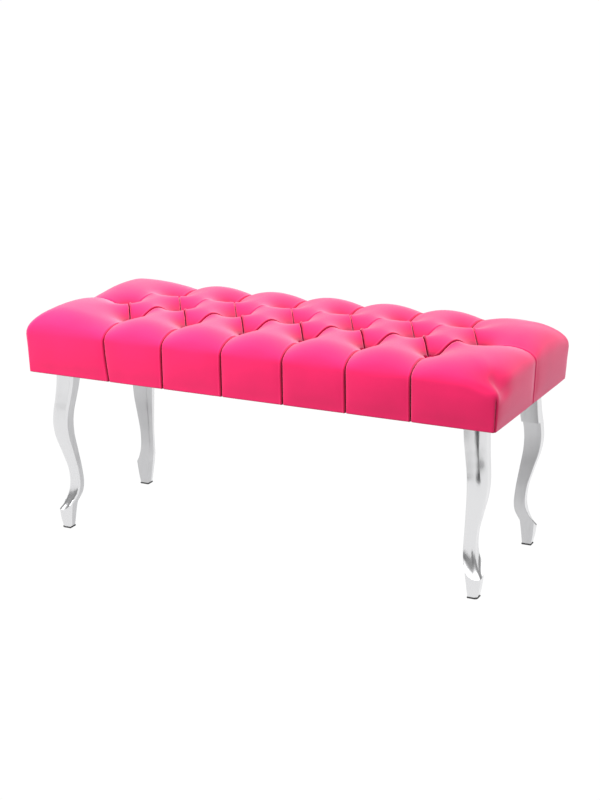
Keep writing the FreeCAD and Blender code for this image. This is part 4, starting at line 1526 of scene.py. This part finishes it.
class BENCH_OT_stage(bpy.types.Operator):
    """Set the floor, the lights and the camera"""
    bl_idname = "bench.stage"
    bl_label = "Stage"

    def execute(self, context):
        stage = context.scene.bench_stage
        self.lay_floor(stage)
        self.lay_flag(stage)
        context.scene.world = studio_world(stage)
        context.scene.view_settings.view_transform = "Standard"
        self.hang_lamp(context, stage)
        self.set_camera(context, stage)
        return {"FINISHED"}

    @staticmethod
    def hang_lamp(context, stage):
        """A large lamp at the upper left, aimed at the seat."""
        place, aimed_at, size = Vector((-0.75, -1.1, 1.25)), Vector((-0.15, 0, 0.4)), 1.0
        key = bpy.data.lights.new("key", "AREA")
        key.energy = stage.key_power
        key.size = size
        lamp = bpy.data.objects.new("key", key)
        lamp.location = place
        lamp.rotation_euler = (aimed_at - place).to_track_quat("-Z", "Y").to_euler()
        context.scene.collection.objects.link(lamp)

    @staticmethod
    def lay_floor(stage):
        """A plain white floor, lit from below like a packshot table. Its light stays off the seat."""
        reach, glow = 30, 1.02
        corners = [(side_x * reach, side_y * reach, 0) for corner, side_x, side_y in CORNERS]
        floor, shader = flat_card("floor", corners, "lit_floor", (0, 0, 0))
        shader.inputs["Emission Color"].default_value = (*stage.floor, 1)
        shader.inputs["Emission Strength"].default_value = glow
        floor.visible_diffuse = False

    @staticmethod
    def lay_flag(stage):
        """A dark card on the floor towards the camera, which shows only as bands in the polished legs."""
        near, far, half_width, level = 1.15, 9.0, 0.60, 0.004
        forward = Vector((math.sin(stage.azimuth), -math.cos(stage.azimuth), 0))
        across = Vector((math.cos(stage.azimuth), math.sin(stage.azimuth), 0))
        lift = Vector((0, 0, level))
        sides = ((near, -half_width), (far, -half_width), (far, half_width), (near, half_width))
        corners = [forward * away + across * aside + lift for away, aside in sides]
        flag, shader = flat_card("flag", corners, "flag_cloth", (0.01, 0.01, 0.01))
        flag.visible_camera = False

    @staticmethod
    def set_camera(context, stage):
        """The camera at the photograph's angle."""
        lens = bpy.data.cameras.new("camera")
        lens.lens = stage.lens
        lens.sensor_width = 36
        lens.shift_x, lens.shift_y = stage.shift
        camera = bpy.data.objects.new("camera", lens)
        level = math.cos(stage.elevation)
        back = Vector((math.sin(stage.azimuth) * level, -math.cos(stage.azimuth) * level,
                       math.sin(stage.elevation)))
        right = Vector((math.cos(stage.azimuth), math.sin(stage.azimuth), 0))
        up = back.cross(right)
        turn = Matrix((right, up, back)).transposed() @ Matrix.Rotation(stage.roll, 3, "Z")
        camera.matrix_world = Matrix.Translation(stage.place) @ turn.to_4x4()
        context.scene.collection.objects.link(camera)
        context.scene.camera = camera


class BENCH_PT_panel(bpy.types.Panel):
    """Lists the bench's pieces"""
    bl_idname = "BENCH_PT_panel"
    bl_label = "Tufted bench"
    bl_space_type = "VIEW_3D"
    bl_region_type = "UI"
    bl_category = "Bench"

    def draw(self, context):
        for operator in OPERATORS:
            self.layout.operator(operator.bl_idname)


OPERATORS = (
    BENCH_OT_velvet_cover,
    BENCH_OT_buttons,
    BENCH_OT_legs,
    BENCH_OT_glides,
    BENCH_OT_dust_cover,
    BENCH_OT_staples,
    BENCH_OT_frame_finish,
    BENCH_OT_stage,
)
SETTINGS = (BenchSeatSettings, BenchLegSettings, BenchUndersideSettings, BenchStageSettings)


def register():
    for item in SETTINGS + OPERATORS + (BENCH_PT_panel,):
        bpy.utils.register_class(item)
    bpy.types.Scene.bench_seat = PointerProperty(type=BenchSeatSettings)
    bpy.types.Scene.bench_leg = PointerProperty(type=BenchLegSettings)
    bpy.types.Scene.bench_under = PointerProperty(type=BenchUndersideSettings)
    bpy.types.Scene.bench_stage = PointerProperty(type=BenchStageSettings)


def unregister():
    del bpy.types.Scene.bench_stage
    del bpy.types.Scene.bench_under
    del bpy.types.Scene.bench_leg
    del bpy.types.Scene.bench_seat
    for item in reversed(SETTINGS + OPERATORS + (BENCH_PT_panel,)):
        bpy.utils.unregister_class(item)


def main():
    """Registers the add-on and makes every piece."""
    register()
    bpy.ops.bench.velvet_cover()
    bpy.ops.bench.buttons()
    bpy.ops.bench.legs()
    bpy.ops.bench.glides()
    bpy.ops.bench.dust_cover()
    bpy.ops.bench.staples()
    bpy.ops.bench.frame_finish()
    bpy.ops.bench.stage()


if __name__ == "__main__":
    main()
